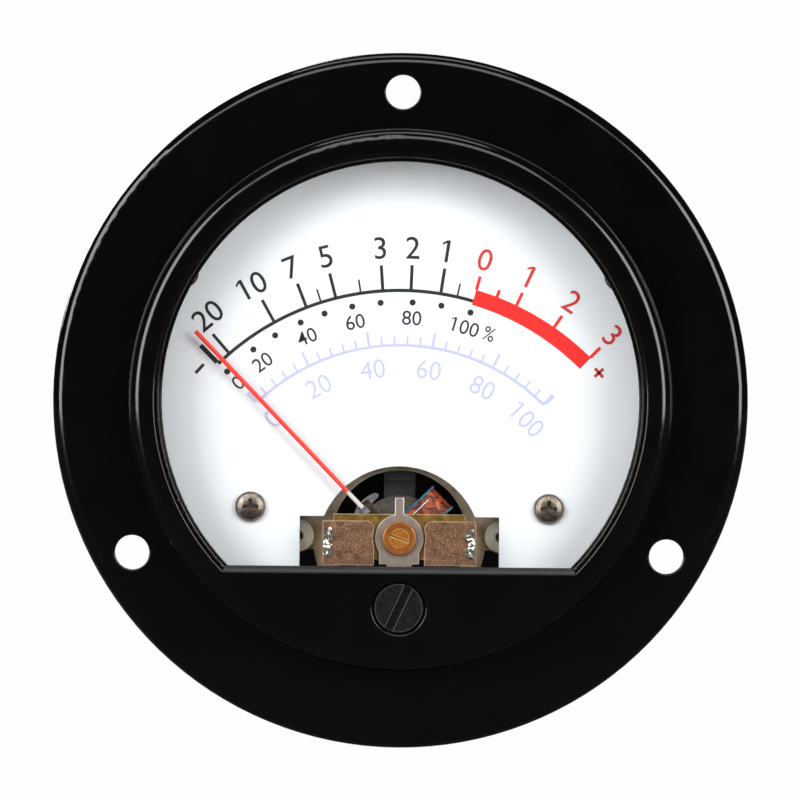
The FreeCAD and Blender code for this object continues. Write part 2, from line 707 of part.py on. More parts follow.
# Screws and nuts
def pan_screw(name, head, rise, radius, length, seat):
    # Screw whose head stands before its seat, with a cross recess
    rim = "(%s) - (%s) * 0.4" % (seat, rise)
    lower = rod(name + "_lower", head, rim, seat)
    middle = cone(name + "_middle", "(%s) * 0.85" % head, head, "(%s) - (%s) * 0.8" % (seat, rise), rim)
    cap = cone(name + "_cap", "(%s) * 0.5" % head, "(%s) * 0.85" % head, "(%s) - (%s)" % (seat, rise),
               "(%s) - (%s) * 0.8" % (seat, rise))
    wing = "(%s) * 0.55" % head
    deep = "(%s) - (%s) * 0.45" % (seat, rise)
    front = "(%s) - (%s) - 0.1" % (seat, rise)
    half = "cross_slot / 2"
    across = block(name + "_across", ("-" + wing, wing), (front, deep), ("-" + half, half))
    upright = block(name + "_upright", ("-" + half, half), (front, deep), ("-" + wing, wing))
    shank = rod(name + "_shank", radius, seat, "(%s) + (%s)" % (seat, length))
    return cut(name, fuse(name + "_solid", lower, middle, cap, shank), across, upright)


def make_screws(name, spots, head, rise, length, seat):
    items = []
    for n, (x, z) in enumerate(spots):
        screw = pan_screw("%s_%d" % (name, n + 1), head, rise, "screw_radius", length, seat)
        items.append(place(screw, x, "0", z))
    return group(name, items)


def make_closure_screws():
    # Heads to the rear, so each is turned about its upright
    items = []
    for n in range(int(round(value("closure_count")))):
        name = "closure_screw_%d" % (n + 1)
        head = rod(name + "_head", "closure_head", "counterbore_stop", "counterbore_stop + closure_head_rise",
                   "0", "-closure_circle")
        shank = rod(name + "_shank", "screw_radius", "counterbore_stop - closure_length", "counterbore_stop",
                    "0", "-closure_circle")
        slot = block(name + "_slot", ("-closure_head", "closure_head"),
                     ("counterbore_stop + closure_head_rise * 0.5",
                      "counterbore_stop + closure_head_rise + 1"),
                     ("-closure_circle - cross_slot / 2", "-closure_circle + cross_slot / 2"))
        screw = cut(name, fuse(name + "_solid", head, shank), slot)
        items.append(place(screw, turn="%d * 360 / closure_count" % n))
    return group("closure_screws", items)


# Magnet system
def make_yoke_ring():
    ring = rod("yoke_outer", "yoke_radius", "yoke_front", "yoke_rear", "0", on_axis)
    ears = block("yoke_ears", ("-ear_reach", "ear_reach"), ("yoke_front", "yoke_front + ear_thick"),
                 ("-axis_drop - ear_bottom", "-axis_drop + ear_top"))
    bore = rod("yoke_inner", "yoke_bore", "yoke_front - 1", "yoke_rear + 1", "0", on_axis)
    holes = [rod("ear_hole_%d" % n, "pin_radius + run_play", "yoke_front - 1", "yoke_front + ear_thick + 1",
                 x, "washer_rise - axis_drop") for n, x in enumerate(("-washer_x", "washer_x"))]
    return cut("yoke_ring", fuse("yoke_solid", ring, ears), bore, *holes)


def make_yoke_washers():
    items = []
    for n, x in enumerate(("-washer_x", "washer_x")):
        z = "washer_rise - axis_drop"
        disc = rod("washer_disc_%d" % n, "washer_radius", "yoke_front - washer_thick", "yoke_front", x, z)
        hole = rod("washer_hole_%d" % n, "pin_radius + run_play", "yoke_front - washer_thick - 1",
                   "yoke_front + 1", x, z)
        items.append(cut("yoke_washer_%d" % (n + 1), disc, hole))
    return group("yoke_washers", items)


def make_core_magnet():
    return rod("core_magnet", "core_radius", "core_front", "core_rear", "0", on_axis)


def make_core_supports():
    items = []
    for n, side in enumerate(("", "-")):
        depth = ("coil_middle - support_length / 2", "coil_middle + support_length / 2")
        low = block("support_low_%d" % n, ("-support_half", "support_half"), depth,
                    ("0", "yoke_bore + 1"))
        high = block("support_high_%d" % n, ("-support_half", "support_half"),
                     ("coil_middle - support_length / 2 - 1", depth[1]), ("support_step", "yoke_bore + 1"))
        bound = rod("support_bound_%d" % n, "yoke_bore", "yoke_front", "yoke_rear")
        core = rod("support_core_%d" % n, "core_radius", "yoke_front - 1", "yoke_rear + 1")
        whole = overlap("support_whole_%d" % n, fuse("support_solid_%d" % n, low, high), bound)
        support = cut("core_support_%d" % (n + 1), whole, core)
        items.append(place(support, "0", "0", on_axis, turn="0" if side == "" else "180"))
    return group("core_supports", items)


# Moving coil, drawn with the pointer straight up and turned to rest
def turned(item):
    return place(item, "0", "0", on_axis, turn="-rest_angle")


def coil_ring(name, inner, outer, inner_end, outer_end, half):
    solid = block(name + "_outer", ("-(%s)" % outer, outer),
                  ("coil_middle - (%s)" % outer_end, "coil_middle + (%s)" % outer_end),
                  ("-(%s)" % half, half))
    hole = block(name + "_inner", ("-(%s)" % inner, inner),
                 ("coil_middle - (%s)" % inner_end, "coil_middle + (%s)" % inner_end),
                 ("-(%s) - 1" % half, "(%s) + 1" % half))
    return cut(name, solid, hole)


def make_coil_bobbin():
    wall = coil_ring("bobbin_wall", "bobbin_reach", "wall_reach", "bobbin_end", "wall_end", "coil_half")
    flanges = []
    for n, side in enumerate(("", "-")):
        flange = coil_ring("bobbin_flange_%d" % n, "bobbin_reach", "rim_reach", "bobbin_end", "rim_end",
                           "coil_flange / 2")
        flanges.append(place(flange, "0", "0", side + "(coil_half - coil_flange / 2)"))
    return turned(fuse("coil_bobbin", wall, *flanges))


def make_coil_winding():
    ring = coil_ring("winding_ring", "wall_reach", "winding_reach", "wall_end", "winding_end",
                     "coil_half - coil_flange")
    return turned(group("coil_winding", [ring]))


def make_spindle(name, forward):
    # Hub, foot plate and pivot; the rear one is the front one mirrored
    foot = "winding_end"
    seat = "bridge_front + coil_middle - bridge_thick - boss_rise - 0.2"
    tip = "(%s) + jewel_length / 2 - jewel_play" % seat
    sign = "-" if forward else ""

    def depth(first, second):
        pair = ["coil_middle %s (%s)" % (sign or "+", first), "coil_middle %s (%s)" % (sign or "+", second)]
        return pair[::-1] if forward else pair

    plate = block(name + "_plate", ("-hub_plate", "hub_plate"), depth(foot, foot + " + hub_plate_thick"),
                  ("-coil_half + coil_flange", "coil_half - coil_flange"))
    hub = rod(name + "_hub", "hub_radius", *depth(foot, "coil_middle - carrier_front"))
    needle = rod(name + "_needle", "pivot_radius", *depth(foot, "(%s) - pivot_cone" % tip))
    span = depth("(%s) - pivot_cone" % tip, tip)
    radii = ("pivot_radius * 0.1", "pivot_radius") if forward else ("pivot_radius", "pivot_radius * 0.1")
    point = cone(name + "_point", radii[0], radii[1], span[0], span[1])
    collet_depth = depth("coil_middle - spring_middle - spring_height / 2",
                         "coil_middle - spring_middle + spring_height / 2")
    collet = rod(name + "_collet", "spring_inner - spring_strip / 2 - collet_play", *collet_depth)
    return turned(fuse(name, plate, hub, needle, point, collet))


def make_jewel_screw(name, forward):
    # Slotted screw with a bore for its jewel
    sign = "-" if forward else "+"

    def depth(first, second):
        pair = ["coil_middle %s (%s)" % (sign, first), "coil_middle %s (%s)" % (sign, second)]
        return pair[::-1] if forward else pair

    inner = "coil_middle - screw_end"
    outer = "coil_middle - jewel_face"
    body = rod(name + "_body", "screw_radius", *depth(inner, outer))
    head = rod(name + "_head", "jewel_screw_head", *depth("coil_middle - nut_face", outer))
    bore = rod(name + "_bore", "jewel_radius + thread_play", *depth("(%s) - 1" % inner,
                                                                    "(%s) + jewel_length" % inner))
    slot = block(name + "_slot", ("-jewel_screw_head - 1", "jewel_screw_head + 1"),
                 depth("(%s) - 0.3" % outer, "(%s) + 1" % outer), ("-driver_slot / 2", "driver_slot / 2"))
    screw = cut(name, fuse(name + "_solid", body, head), bore, slot)
    return place(screw, "0", "0", on_axis, turn="20")


def make_jewel(name, forward):
    sign = "-" if forward else "+"

    def depth(first, second):
        pair = ["coil_middle %s (%s)" % (sign, first), "coil_middle %s (%s)" % (sign, second)]
        return pair[::-1] if forward else pair

    inner = "coil_middle - screw_end"
    stone = rod(name + "_stone", "jewel_radius", *depth(inner, "(%s) + jewel_length" % inner))
    span = depth(inner, "(%s) + jewel_length / 2" % inner)
    wide = "pivot_radius + jewel_play * 3"
    radii = ("jewel_play", wide) if forward else (wide, "jewel_play")
    cup = cone(name + "_cup", radii[0], radii[1], span[0], span[1])
    return place(cut(name, stone, cup), "0", "0", on_axis)


def make_lock_nut(name, forward):
    sign = "-" if forward else "+"
    near = "coil_middle - nut_back"
    far = "coil_middle - nut_face"
    pair = ["coil_middle %s (%s)" % (sign, near), "coil_middle %s (%s)" % (sign, far)]
    span = pair[::-1] if forward else pair
    disc = rod(name + "_disc", "nut_radius", *span)
    hole = rod(name + "_hole", "screw_radius + thread_play", span[0] + " - 1", span[1] + " + 1")
    return place(cut(name, disc, hole), "0", "0", on_axis)


# Front bridge, boards, eyelets and regulator
def make_front_bridge():
    plate = block("bridge_sheet", ("-bridge_reach", "bridge_reach"), ("bridge_face", "bridge_back"),
                  ("-bridge_bottom", "board_top"))
    strip = block("bridge_strip", ("-strip_reach", "strip_reach"), ("bridge_face", "bridge_back"),
                  ("0", "bridge_top"))
    parts = [strip, rod("bridge_boss", "boss_radius", "bridge_face", "boss_back")]
    for n, side in enumerate(("-", "")):
        inner, outer = ("bridge_reach - bridge_leg", "bridge_reach")
        span = (inner, outer) if n else ("-" + outer, "-(%s)" % inner)
        parts.append(block("bridge_leg_%d" % n, span, ("bridge_face", "yoke_front"),
                           ("-bridge_bottom", "board_top")))
        parts.append(rod("bridge_stop_%d" % n, "stop_pin", "bridge_face", "bridge_back + stop_length",
                         side + "stop_circle * sin(stop_angle)", "stop_circle * cos(stop_angle)"))
    hole = rod("bridge_hole", "screw_radius + thread_play", "bridge_face - 1", "boss_back + 1")
    whole = cut("front_bridge", fuse("bridge_solid", plate, *parts), hole)
    return place(whole, "0", "0", on_axis)


def make_bridge_boards():
    items = []
    for n, side in enumerate(("-", "")):
        span = ("board_inner", "board_outer") if side == "" else ("-board_outer", "-board_inner")
        plate = block("board_plate_%d" % n, span, ("bridge_face - board_thick", "bridge_face"),
                      ("-board_bottom", "board_top"))
        inner_x = value(side + "board_inner")
        board = fillet("bridge_board_%d" % (n + 1), plate, value("board_round"),
                       lambda edge: abs(edge.BoundBox.XMin - inner_x) < 1e-4
                       and edge.BoundBox.YLength > 0.1 and edge.BoundBox.ZMin > 0)
        holes = [rod("board_hole_%d_%s" % (n, "low" if tag else "high"), "eyelet_radius * 0.7",
                     "bridge_face - board_thick - 1", "bridge_face + 1", side + "eyelet_x",
                     "(board_top - board_bottom) / 2 + %seyelet_spread" % tag) for tag in ("", "-")]
        arc = rod("board_arc_%d" % n, "regulator_radius + 0.2", "bridge_face - board_thick - 1",
                  "bridge_face + 1")
        items.append(place(cut("board_%d" % (n + 1), board, arc, *holes), "0", "0", on_axis))
    return group("bridge_boards", items)


def make_board_rivets():
    items = []
    for n, side in enumerate(("-", "")):
        for tag in ("", "-"):
            name = "eyelet_%d_%s" % (n, "low" if tag else "high")
            z = "(board_top - board_bottom) / 2 + %seyelet_spread" % tag
            face = "bridge_face - board_thick"
            rim = rod(name + "_rim", "eyelet_radius", face + " - eyelet_rise", face, side + "eyelet_x", z)
            tube = rod(name + "_tube", "eyelet_radius * 0.7 - run_play", face, "bridge_face",
                       side + "eyelet_x", z)
            dimple = rod(name + "_dimple", "eyelet_radius * 0.35", face + " - eyelet_rise - 1", face,
                         side + "eyelet_x", z)
            items.append(place(cut(name, fuse(name + "_solid", rim, tube), dimple), "0", "0", on_axis))
    return group("board_rivets", items)


def make_zero_regulator():
    depth = ("regulator_face", "regulator_back")
    disc = rod("regulator_disc", "regulator_radius", *depth)
    finger = block("regulator_finger", ("-finger_half", "finger_half"), depth, ("0", "finger_reach"))
    tail = block("regulator_tail", ("-tail_half", "tail_half"), depth, ("-tail_drop", "0"))
    fork = block("regulator_fork", ("-fork_half", "fork_half"), depth,
                 ("-pin_drop - crank_pin * 3", "0"))
    lug = block("regulator_lug", ("-lug_half", "lug_half"),
                ("regulator_face", "spring_middle + spring_height / 2"),
                ("-lug_radius - lug_thick", "-lug_radius"))
    foot = block("regulator_foot", ("-lug_half", "lug_half"), depth, ("-lug_radius - lug_thick", "0"))
    hole = rod("regulator_hole", "screw_radius + run_play", "regulator_face - 1", "regulator_back + 1")
    slot = block("regulator_slot", ("-crank_pin - fork_play", "crank_pin + fork_play"),
                 ("regulator_face - 1", "regulator_back + 1"),
                 ("-pin_drop - crank_pin * 4", "-pin_drop + crank_pin * 3"))
    solid = fuse("regulator_solid", disc, finger, tail, fork, foot, lug)
    return place(cut("zero_regulator", solid, hole, slot), "0", "0", on_axis)


def make_zero_adjuster():
    head = rod("adjuster_head_disc", "adjuster_head", "adjuster_face", "head_back")
    groove_start = "boss_end + run_play"
    shank = rod("adjuster_shank_rod", "adjuster_shank", "head_back", "shank_end")
    groove = cut("adjuster_groove",
                 rod("groove_outer", "adjuster_shank + 1", groove_start, groove_start + " + clip_thick"),
                 rod("groove_inner", "adjuster_shank - clip_groove", groove_start + " - 1",
                     groove_start + " + clip_thick + 1"))
    slot = block("adjuster_slot_cut", ("-adjuster_slot / 2", "adjuster_slot / 2"),
                 ("adjuster_face - 1", "adjuster_face + adjuster_slot_depth"),
                 ("-adjuster_head - 1", "adjuster_head + 1"))
    place(slot, "-adjuster_slot / 2 * cos(slot_turn) - (adjuster_head + 1) * sin(slot_turn)",
          "adjuster_face - 1",
          "adjuster_slot / 2 * sin(slot_turn) - (adjuster_head + 1) * cos(slot_turn)", turn="slot_turn")
    crank = rod("adjuster_crank", "crank_pin", "shank_end", "pin_end", "0", "pin_offset")
    whole = cut("zero_adjuster", fuse("adjuster_solid", head, shank, crank), slot, groove)
    return place(whole, "0", "0", "-adjuster_drop")


def make_adjuster_clip():
    start = "boss_end + run_play"
    ring = rod("clip_outer", "clip_ring", start, start + " + clip_thick")
    hole = rod("clip_hole", "adjuster_shank - clip_groove", start + " - 1", start + " + clip_thick + 1")
    gap = block("clip_gap", ("-adjuster_shank * 0.5", "adjuster_shank * 0.5"),
                (start + " - 1", start + " + clip_thick + 1"), ("-clip_ring - 1", "0"))
    return place(cut("adjuster_clip", ring, fuse("clip_holes", hole, gap)), "0", "0", "-adjuster_drop")


# Pointer and carrier
def make_pointer():
    item = doc.addObject("Part::Cylinder", "pointer_rod")
    bind(item, "Radius", "pointer_radius")
    bind(item, "Height", "pointer_reach - pointer_root")
    place(item, "-pointer_offset", "-pointer_plane", "pointer_root")
    return turned(group("pointer", [item]))


def make_pointer_clip():
    solid = block("clip_solid", ("-pointer_offset - pointer_radius - clip_wall",
                                 "-pointer_offset + pointer_radius + clip_wall"),
                  ("carrier_front - pointer_radius * 2 - clip_wall", "carrier_front"),
                  ("pointer_root - clip_length / 2", "pointer_root + clip_length / 2"))
    bore = doc.addObject("Part::Cylinder", "clip_bore")
    bind(bore, "Radius", "pointer_radius")
    bind(bore, "Height", "clip_length")
    place(bore, "-pointer_offset", "-pointer_plane", "pointer_root")
    return turned(cut("pointer_clip", solid, bore))


def make_pointer_carrier():
    depth = ("carrier_front", "carrier_back")
    arm = block("carrier_arm", ("-carrier_half - pointer_offset / 2", "carrier_half - pointer_offset / 2"),
                depth, ("0", "carrier_reach"))
    cross = block("carrier_cross", ("-cross_reach", "cross_reach"), depth, ("-cross_half", "cross_half"))
    tail = block("carrier_tail", ("-cross_half", "cross_half"), depth, ("-tail_reach", "0"))
    disc = rod("carrier_disc", "hub_radius * 2", *depth)
    hole = rod("carrier_hole", "hub_radius", "carrier_front - 1", "carrier_back + 1")
    return turned(cut("pointer_carrier", fuse("carrier_solid", arm, cross, tail, disc), hole))


def make_balance_weights():
    # Sleeves round the carrier's two cross arms and its tail
    depth = ("carrier_front", "carrier_back")
    middle = "(carrier_front + carrier_back) / 2"
    arms = [("left", 90, "-cross_reach", "0"), ("right", 90, "cross_reach - weight_length", "0"),
            ("tail", 0, "0", "-tail_reach")]
    items = []
    for name, tilt, x, z in arms:
        sleeve = doc.addObject("Part::Cylinder", "weight_" + name + "_sleeve")
        sleeve.Placement = FreeCAD.Placement(FreeCAD.Vector(), FreeCAD.Rotation(about_y, tilt))
        bind(sleeve, "Radius", "weight_radius")
        bind(sleeve, "Height", "weight_length")
        place(sleeve, x, middle, z)
        if tilt:
            arm = block("weight_" + name + "_bore", ("-cross_reach - 1", "cross_reach + 1"), depth,
                        ("-cross_half", "cross_half"))
        else:
            arm = block("weight_" + name + "_bore", ("-cross_half", "cross_half"), depth,
                        ("-tail_reach - 1", "0"))
        items.append(turned(cut("weight_" + name, sleeve, arm)))
    return group("balance_weights", items)


def make_coil_leads():
    # One fine wire at each end of the winding, along it to the pivot's foot plate
    items = []
    for name, side, depth in (("front", "", "coil_middle - winding_end - fine_wire"),
                              ("rear", "-", "coil_middle + winding_end + fine_wire")):
        wire = doc.addObject("Part::Cylinder", "coil_wire_" + name)
        wire.Placement = FreeCAD.Placement(FreeCAD.Vector(), FreeCAD.Rotation(about_y, 90))
        bind(wire, "Radius", "fine_wire")
        bind(wire, "Height", "winding_reach * 0.8 - hub_plate")
        start = "-winding_reach * 0.8" if side else "hub_plate"
        place(wire, start, depth, "coil_half / 2")
        items.append(turned(group("coil_lead_" + name, [wire])))
    return group("coil_leads", items)


# Hairsprings: half turns with alternating centres, inner end at the collet
def make_hairspring(name, middle):
    inner = value("spring_inner")
    pitch = value("spring_pitch")
    half_strip = value("spring_strip") / 2
    height = value("spring_height")
    reach = value("lug_radius") - half_strip
    halves = int((reach - inner) / (pitch / 2))
    pitch = 2 * (reach - inner) / halves
    outer_arcs = []
    inner_arcs = []
    for n in range(halves):
        radius = inner + (n + 0.5) * pitch / 2
        side = 1 if (halves - 1 - n) % 2 == 0 else -1
        centre = FreeCAD.Vector(0, 0, -side * pitch / 4)
        for arcs, distance in ((outer_arcs, radius + half_strip), (inner_arcs, radius - half_strip)):
            start = centre + FreeCAD.Vector(0, 0, side * distance)
            middle_point = centre + FreeCAD.Vector(side * distance, 0, 0)
            end = centre + FreeCAD.Vector(0, 0, -side * distance)
            arcs.append((start, middle_point, end))
    edges = [Part.Arc(*points).toShape() for points in outer_arcs]
    edges.append(Part.LineSegment(outer_arcs[-1][2], inner_arcs[-1][2]).toShape())
    edges += [Part.Arc(*points).toShape() for points in inner_arcs]
    edges.append(Part.LineSegment(outer_arcs[0][0], inner_arcs[0][0]).toShape())
    face = Part.Face(Part.Wire(Part.__sortEdges__(edges)))
    feature = doc.addObject("Part::Feature", name)
    feature.Shape = face.extrude(FreeCAD.Vector(0, height, 0))
    feature.Placement = FreeCAD.Placement(
        FreeCAD.Vector(0, value(middle) - height / 2, value(on_axis)), FreeCAD.Rotation())
    return feature


# Rear bridge, arm and frame
def make_rear_bridge():
    depth = ("coil_middle + half_span - bridge_thick", "coil_middle + half_span")
    height = ("-rear_bridge_half", "rear_bridge_half")
    bar = block("rear_bar", ("-bridge_reach", "bridge_reach"), depth, height)
    legs = []
    feet = []
    for n, side in enumerate((-1, 1)):
        leg = ("bridge_reach - bridge_leg", "bridge_reach")
        foot = ("bridge_reach - bridge_leg", "bridge_reach + rear_foot * 2")
        if side < 0:
            leg = ("-bridge_reach", "bridge_leg - bridge_reach")
            foot = ("-bridge_reach - rear_foot * 2", "bridge_leg - bridge_reach")
        legs.append(block("rear_leg_%d" % n, leg, ("frame_rear", depth[1]), height))
        feet.append(block("rear_foot_%d" % n, foot, ("frame_rear", "frame_rear + bridge_thick"),
                          ("-rear_bridge_half", "rear_bridge_half")))
    boss = rod("rear_boss", "boss_radius", "coil_middle * 2 - boss_back", depth[1])
    hole = rod("rear_hole", "screw_radius + thread_play", depth[0] + " - 2", depth[1] + " + 1")
    bores = [rod("rear_screw_hole_%d" % n, "rear_screw + thread_play", "frame_rear - 1",
                 "frame_rear + bridge_thick + 1", side + "(bridge_reach + rear_foot)", "0")
             for n, side in enumerate(("-", ""))]
    solid = fuse("rear_bridge_solid", bar, boss, *legs, *feet)
    return place(cut("rear_bridge", solid, hole, *bores), "0", "0", on_axis)


def make_rear_bridge_screws():
    items = []
    for n, side in enumerate(("-", "")):
        x = side + "(bridge_reach + rear_foot)"
        name = "rear_bridge_screw_%d" % (n + 1)
        head = rod(name + "_head", "rear_screw_head", "frame_rear + bridge_thick",
                   "frame_rear + bridge_thick * 2.4", x, on_axis)
        shank = rod(name + "_shank", "rear_screw", "yoke_rear + 0.2", "frame_rear + bridge_thick", x, on_axis)
        items.append(fuse(name, head, shank))
    return group("rear_bridge_screws", items)


def make_rear_spring_arm():
    depth = ("coil_middle + half_span", "coil_middle * 2 - nut_back")
    disc = rod("arm_disc", "regulator_radius", *depth)
    arm = block("arm_bar", ("-arm_half", "arm_half"), depth, ("-lug_radius - lug_thick", "tag_reach"))
    lug = block("arm_lug", ("-lug_half", "lug_half"),
                ("coil_middle * 2 - spring_middle - spring_height / 2", depth[1]),
                ("-lug_radius - lug_thick", "-lug_radius"))
    hole = rod("arm_hole", "screw_radius + thread_play", depth[0] + " - 1", depth[1] + " + 1")
    return place(cut("rear_spring_arm", fuse("arm_solid", disc, arm, lug), hole), "0", "0", on_axis)


def make_movement_frame():
    depth = ("yoke_rear", "frame_rear")
    plate = block("frame_plate", ("-frame_half", "frame_half"), depth, ("-frame_bottom", "-frame_top"))
    bound = rod("frame_bound", "frame_clip", *depth)
    base = overlap("frame_base", plate, bound)
    pins = []
    for n, x in enumerate(("-washer_x", "washer_x")):
        z = "washer_rise - axis_drop"
        pins.append(rod("frame_shoulder_%d" % n, "pin_shoulder", "yoke_front + ear_thick", "yoke_rear", x, z))
        pins.append(rod("frame_pin_%d" % n, "pin_radius", "yoke_front - washer_thick", "yoke_rear", x, z))
    opening = rod("frame_opening", "yoke_bore + 0.1", "yoke_rear - 1", "frame_rear + 1", "0", on_axis)
    holes = [rod("frame_hole_%d" % n, "screw_radius + hole_play", "yoke_rear - 1", "frame_rear + 1", x, z)
             for n, (x, z) in enumerate(frame_spots)]
    posts = [rod("post_hole_%d" % n, "dial_post * 0.5 + thread_play", "yoke_rear - 1", "frame_rear + 1",
                 side + "dial_screw_x", "-dial_screw_drop") for n, side in enumerate(("-", ""))]
    bores = [rod("bridge_bore_%d" % n, "rear_screw + thread_play", "yoke_rear - 1", "frame_rear + 1",
                 side + "(bridge_reach + rear_foot)", on_axis) for n, side in enumerate(("-", ""))]
    solid = fuse("frame_solid", base, *pins)
    return cut("movement_frame", solid, opening, *holes, *posts, *bores)


def make_dial_posts():
    items = []
    for n, side in enumerate(("-", "")):
        x = side + "dial_screw_x"
        z = "-dial_screw_drop"
        name = "dial_post_%d" % (n + 1)
        post = rod(name + "_bar", "dial_post", "dial_thick", "yoke_rear", x, z)
        tail = rod(name + "_tail", "dial_post * 0.5", "yoke_rear", "frame_rear", x, z)
        hole = rod(name + "_hole", "screw_radius + thread_play", "dial_thick - 1",
                   "dial_screw_length + 0.5", x, z)
        items.append(cut(name, fuse(name + "_solid", post, tail), hole))
    return group("dial_posts", items)


# Terminals
def make_terminal(kind, solid_of):
    items = []
    for n, side in enumerate(("-", "")):
        items.append(solid_of("%s_%d" % (kind, n + 1), side + "stud_x"))
        bind(items[-1], "Placement.Base.z", "stud_rise")
    return items


def make_terminal_studs():
    def stud(name, x):
        head = prism(name + "_head", "stud_head", "floor_face - stud_head_rise", "floor_face", x)
        shank = rod(name + "_shank", "stud_radius", "floor_face", "case_depth + stud_length - 0.5", x)
        tip = cone(name + "_tip", "stud_radius", "stud_radius - 0.5", "case_depth + stud_length - 0.5",
                   "case_depth + stud_length", x)
        return fuse(name, head, shank, tip)
    return group("terminal_studs", make_terminal("terminal_stud", stud))


def ring_at(name, shape_of, outer, start, end, x):
    body = shape_of(name + "_outer", outer, start, end, x)
    hole = rod(name + "_hole", "stud_radius + thread_play", start + " - 1", end + " + 1", x)
    return cut(name, body, hole)


def make_stud_washers():
    return group("stud_washers", make_terminal("stud_washer_ring", lambda name, x: ring_at(
        name, rod, "stud_washer", "case_depth", "case_depth + stud_washer_thick", x)))


def make_stud_nuts():
    return group("stud_nuts", make_terminal("stud_nut", lambda name, x: ring_at(
        name, prism, "nut_corner", "case_depth + stud_washer_thick",
        "case_depth + stud_washer_thick + nut_rise", x)))


def make_solder_lugs():
    start = "case_depth + stud_washer_thick + nut_rise"
    end = start + " + lug_plate"

    def lug(name, x):
        ring = rod(name + "_ring", "lug_ring", start, end, x)
        tongue = block(name + "_tongue", (x + " - lug_width", x + " + lug_width"), (start, end),
                       ("-lug_reach", "0"))
        hole = rod(name + "_hole", "stud_radius + thread_play", start + " - 1", end + " + 1", x)
        eye = rod(name + "_eye", "lug_width * 0.5", start + " - 1", end + " + 1", x,
                  "-lug_reach + lug_width * 1.2")
        return cut(name, fuse(name + "_solid", ring, tongue), hole, eye)
    return group("solder_lugs", make_terminal("solder_lug", lug))


def make_terminal_nuts():
    start = "case_depth + stud_washer_thick + nut_rise + lug_plate"
    return group("terminal_nuts", make_terminal("terminal_nut", lambda name, x: ring_at(
        name, prism, "nut_corner", start, start + " + nut_rise", x)))


# Inner leads: straight runs joined by tangent arcs
def make_lead(name, corners):
    radius = value("lead_radius")
    bend = value("lead_bend")
    points = [FreeCAD.Vector(*[value(text) for text in corner]) for corner in corners]
    edges = []
    start = points[0]
    for n in range(1, len(points) - 1):
        before = (points[n - 1] - points[n]).normalize()
        after = (points[n + 1] - points[n]).normalize()
        turn = math.pi - before.getAngle(after)
        back = bend * math.tan(turn / 2)
        first = points[n] + before * back
        last = points[n] + after * back
        away = (before + after).normalize()
        centre = points[n] + away * (bend / math.cos(turn / 2))
        middle = centre - away * bend
        edges.append(Part.LineSegment(start, first).toShape())
        edges.append(Part.Arc(first, middle, last).toShape())
        start = last
    edges.append(Part.LineSegment(start, points[-1]).toShape())
    path = Part.Wire(edges)
    direction = (points[1] - points[0]).normalize()
    section = Part.Wire([Part.Circle(points[0], direction, radius).toShape()])
    feature = doc.addObject("Part::Feature", name)
    feature.Shape = path.makePipeShell([section], True, False)
    return feature


stud_face = "floor_face - stud_head_rise"
ear_middle = "yoke_front + ear_thick / 2"
run_depth = "floor_face - stud_head_rise - lead_run"
tag_height = "tag_reach - axis_drop - arm_half"

parts = [
    make_front_housing(),
    make_window_glass(),
    make_zero_adjuster(),
    make_adjuster_clip(),
    make_dial_plate(),
    make_screws("dial_screws", [("-dial_screw_x", "-dial_screw_drop"), ("dial_screw_x", "-dial_screw_drop")],
                "pan_head", "pan_rise", "dial_screw_length", "0"),
    make_dial_posts(),
    make_pointer(),
    make_pointer_clip(),
    make_pointer_carrier(),
    make_balance_weights(),
    make_coil_bobbin(),
    make_coil_winding(),
    make_coil_leads(),
    make_spindle("front_spindle", True),
    make_spindle("rear_spindle", False),
    make_hairspring("front_hairspring", "spring_middle"),
    make_hairspring("rear_hairspring", "coil_middle * 2 - spring_middle"),
    make_yoke_ring(),
    make_yoke_washers(),
    make_core_magnet(),
    make_core_supports(),
    make_front_bridge(),
    make_bridge_boards(),
    make_board_rivets(),
    make_zero_regulator(),
    make_jewel_screw("front_jewel_screw", True),
    make_jewel("front_jewel", True),
    make_lock_nut("front_lock_nut", True),
    make_rear_bridge(),
    make_rear_bridge_screws(),
    make_rear_spring_arm(),
    make_jewel_screw("rear_jewel_screw", False),
    make_jewel("rear_jewel", False),
    make_lock_nut("rear_lock_nut", False),
    make_movement_frame(),
    make_screws("frame_screws", frame_spots, "pan_head", "pan_rise", "frame_screw_length", "yoke_rear"),
    make_rear_case(),
    make_closure_screws(),
    make_terminal_studs(),
    make_stud_washers(),
    make_stud_nuts(),
    make_solder_lugs(),
    make_terminal_nuts(),
    make_lead("negative_lead", [("-stud_x", stud_face, "stud_rise + lead_shift"),
                                ("-stud_x", ear_middle, "stud_rise + lead_shift"),
                                ("-stud_x", ear_middle, "ear_top - axis_drop")]),
    make_lead("positive_lead", [("stud_x", stud_face, "stud_rise - lead_shift"),
                                ("stud_x", run_depth, "stud_rise - lead_shift"),
                                ("0", run_depth, tag_height),
                                ("0", "coil_middle * 2 - nut_back", tag_height)]),
]

doc.recompute()
for item in doc.Objects:
    if "Invalid" in item.State or "Error" in item.State:
        raise RuntimeError("not computed: " + item.Name)
for part in parts:
    if part.Shape.isNull() or not part.Shape.isValid() or part.Shape.Volume <= 0:
        raise RuntimeError("not a valid solid: " + part.Label)

os.makedirs("parts", exist_ok=True)
for part in parts:
    part.Shape.exportStep("parts/%s.step" % part.Label)
print("wrote %d parts" % len(parts))
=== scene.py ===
import bpy
import bmesh
import json
import math
import random
from mathutils import Matrix, Vector


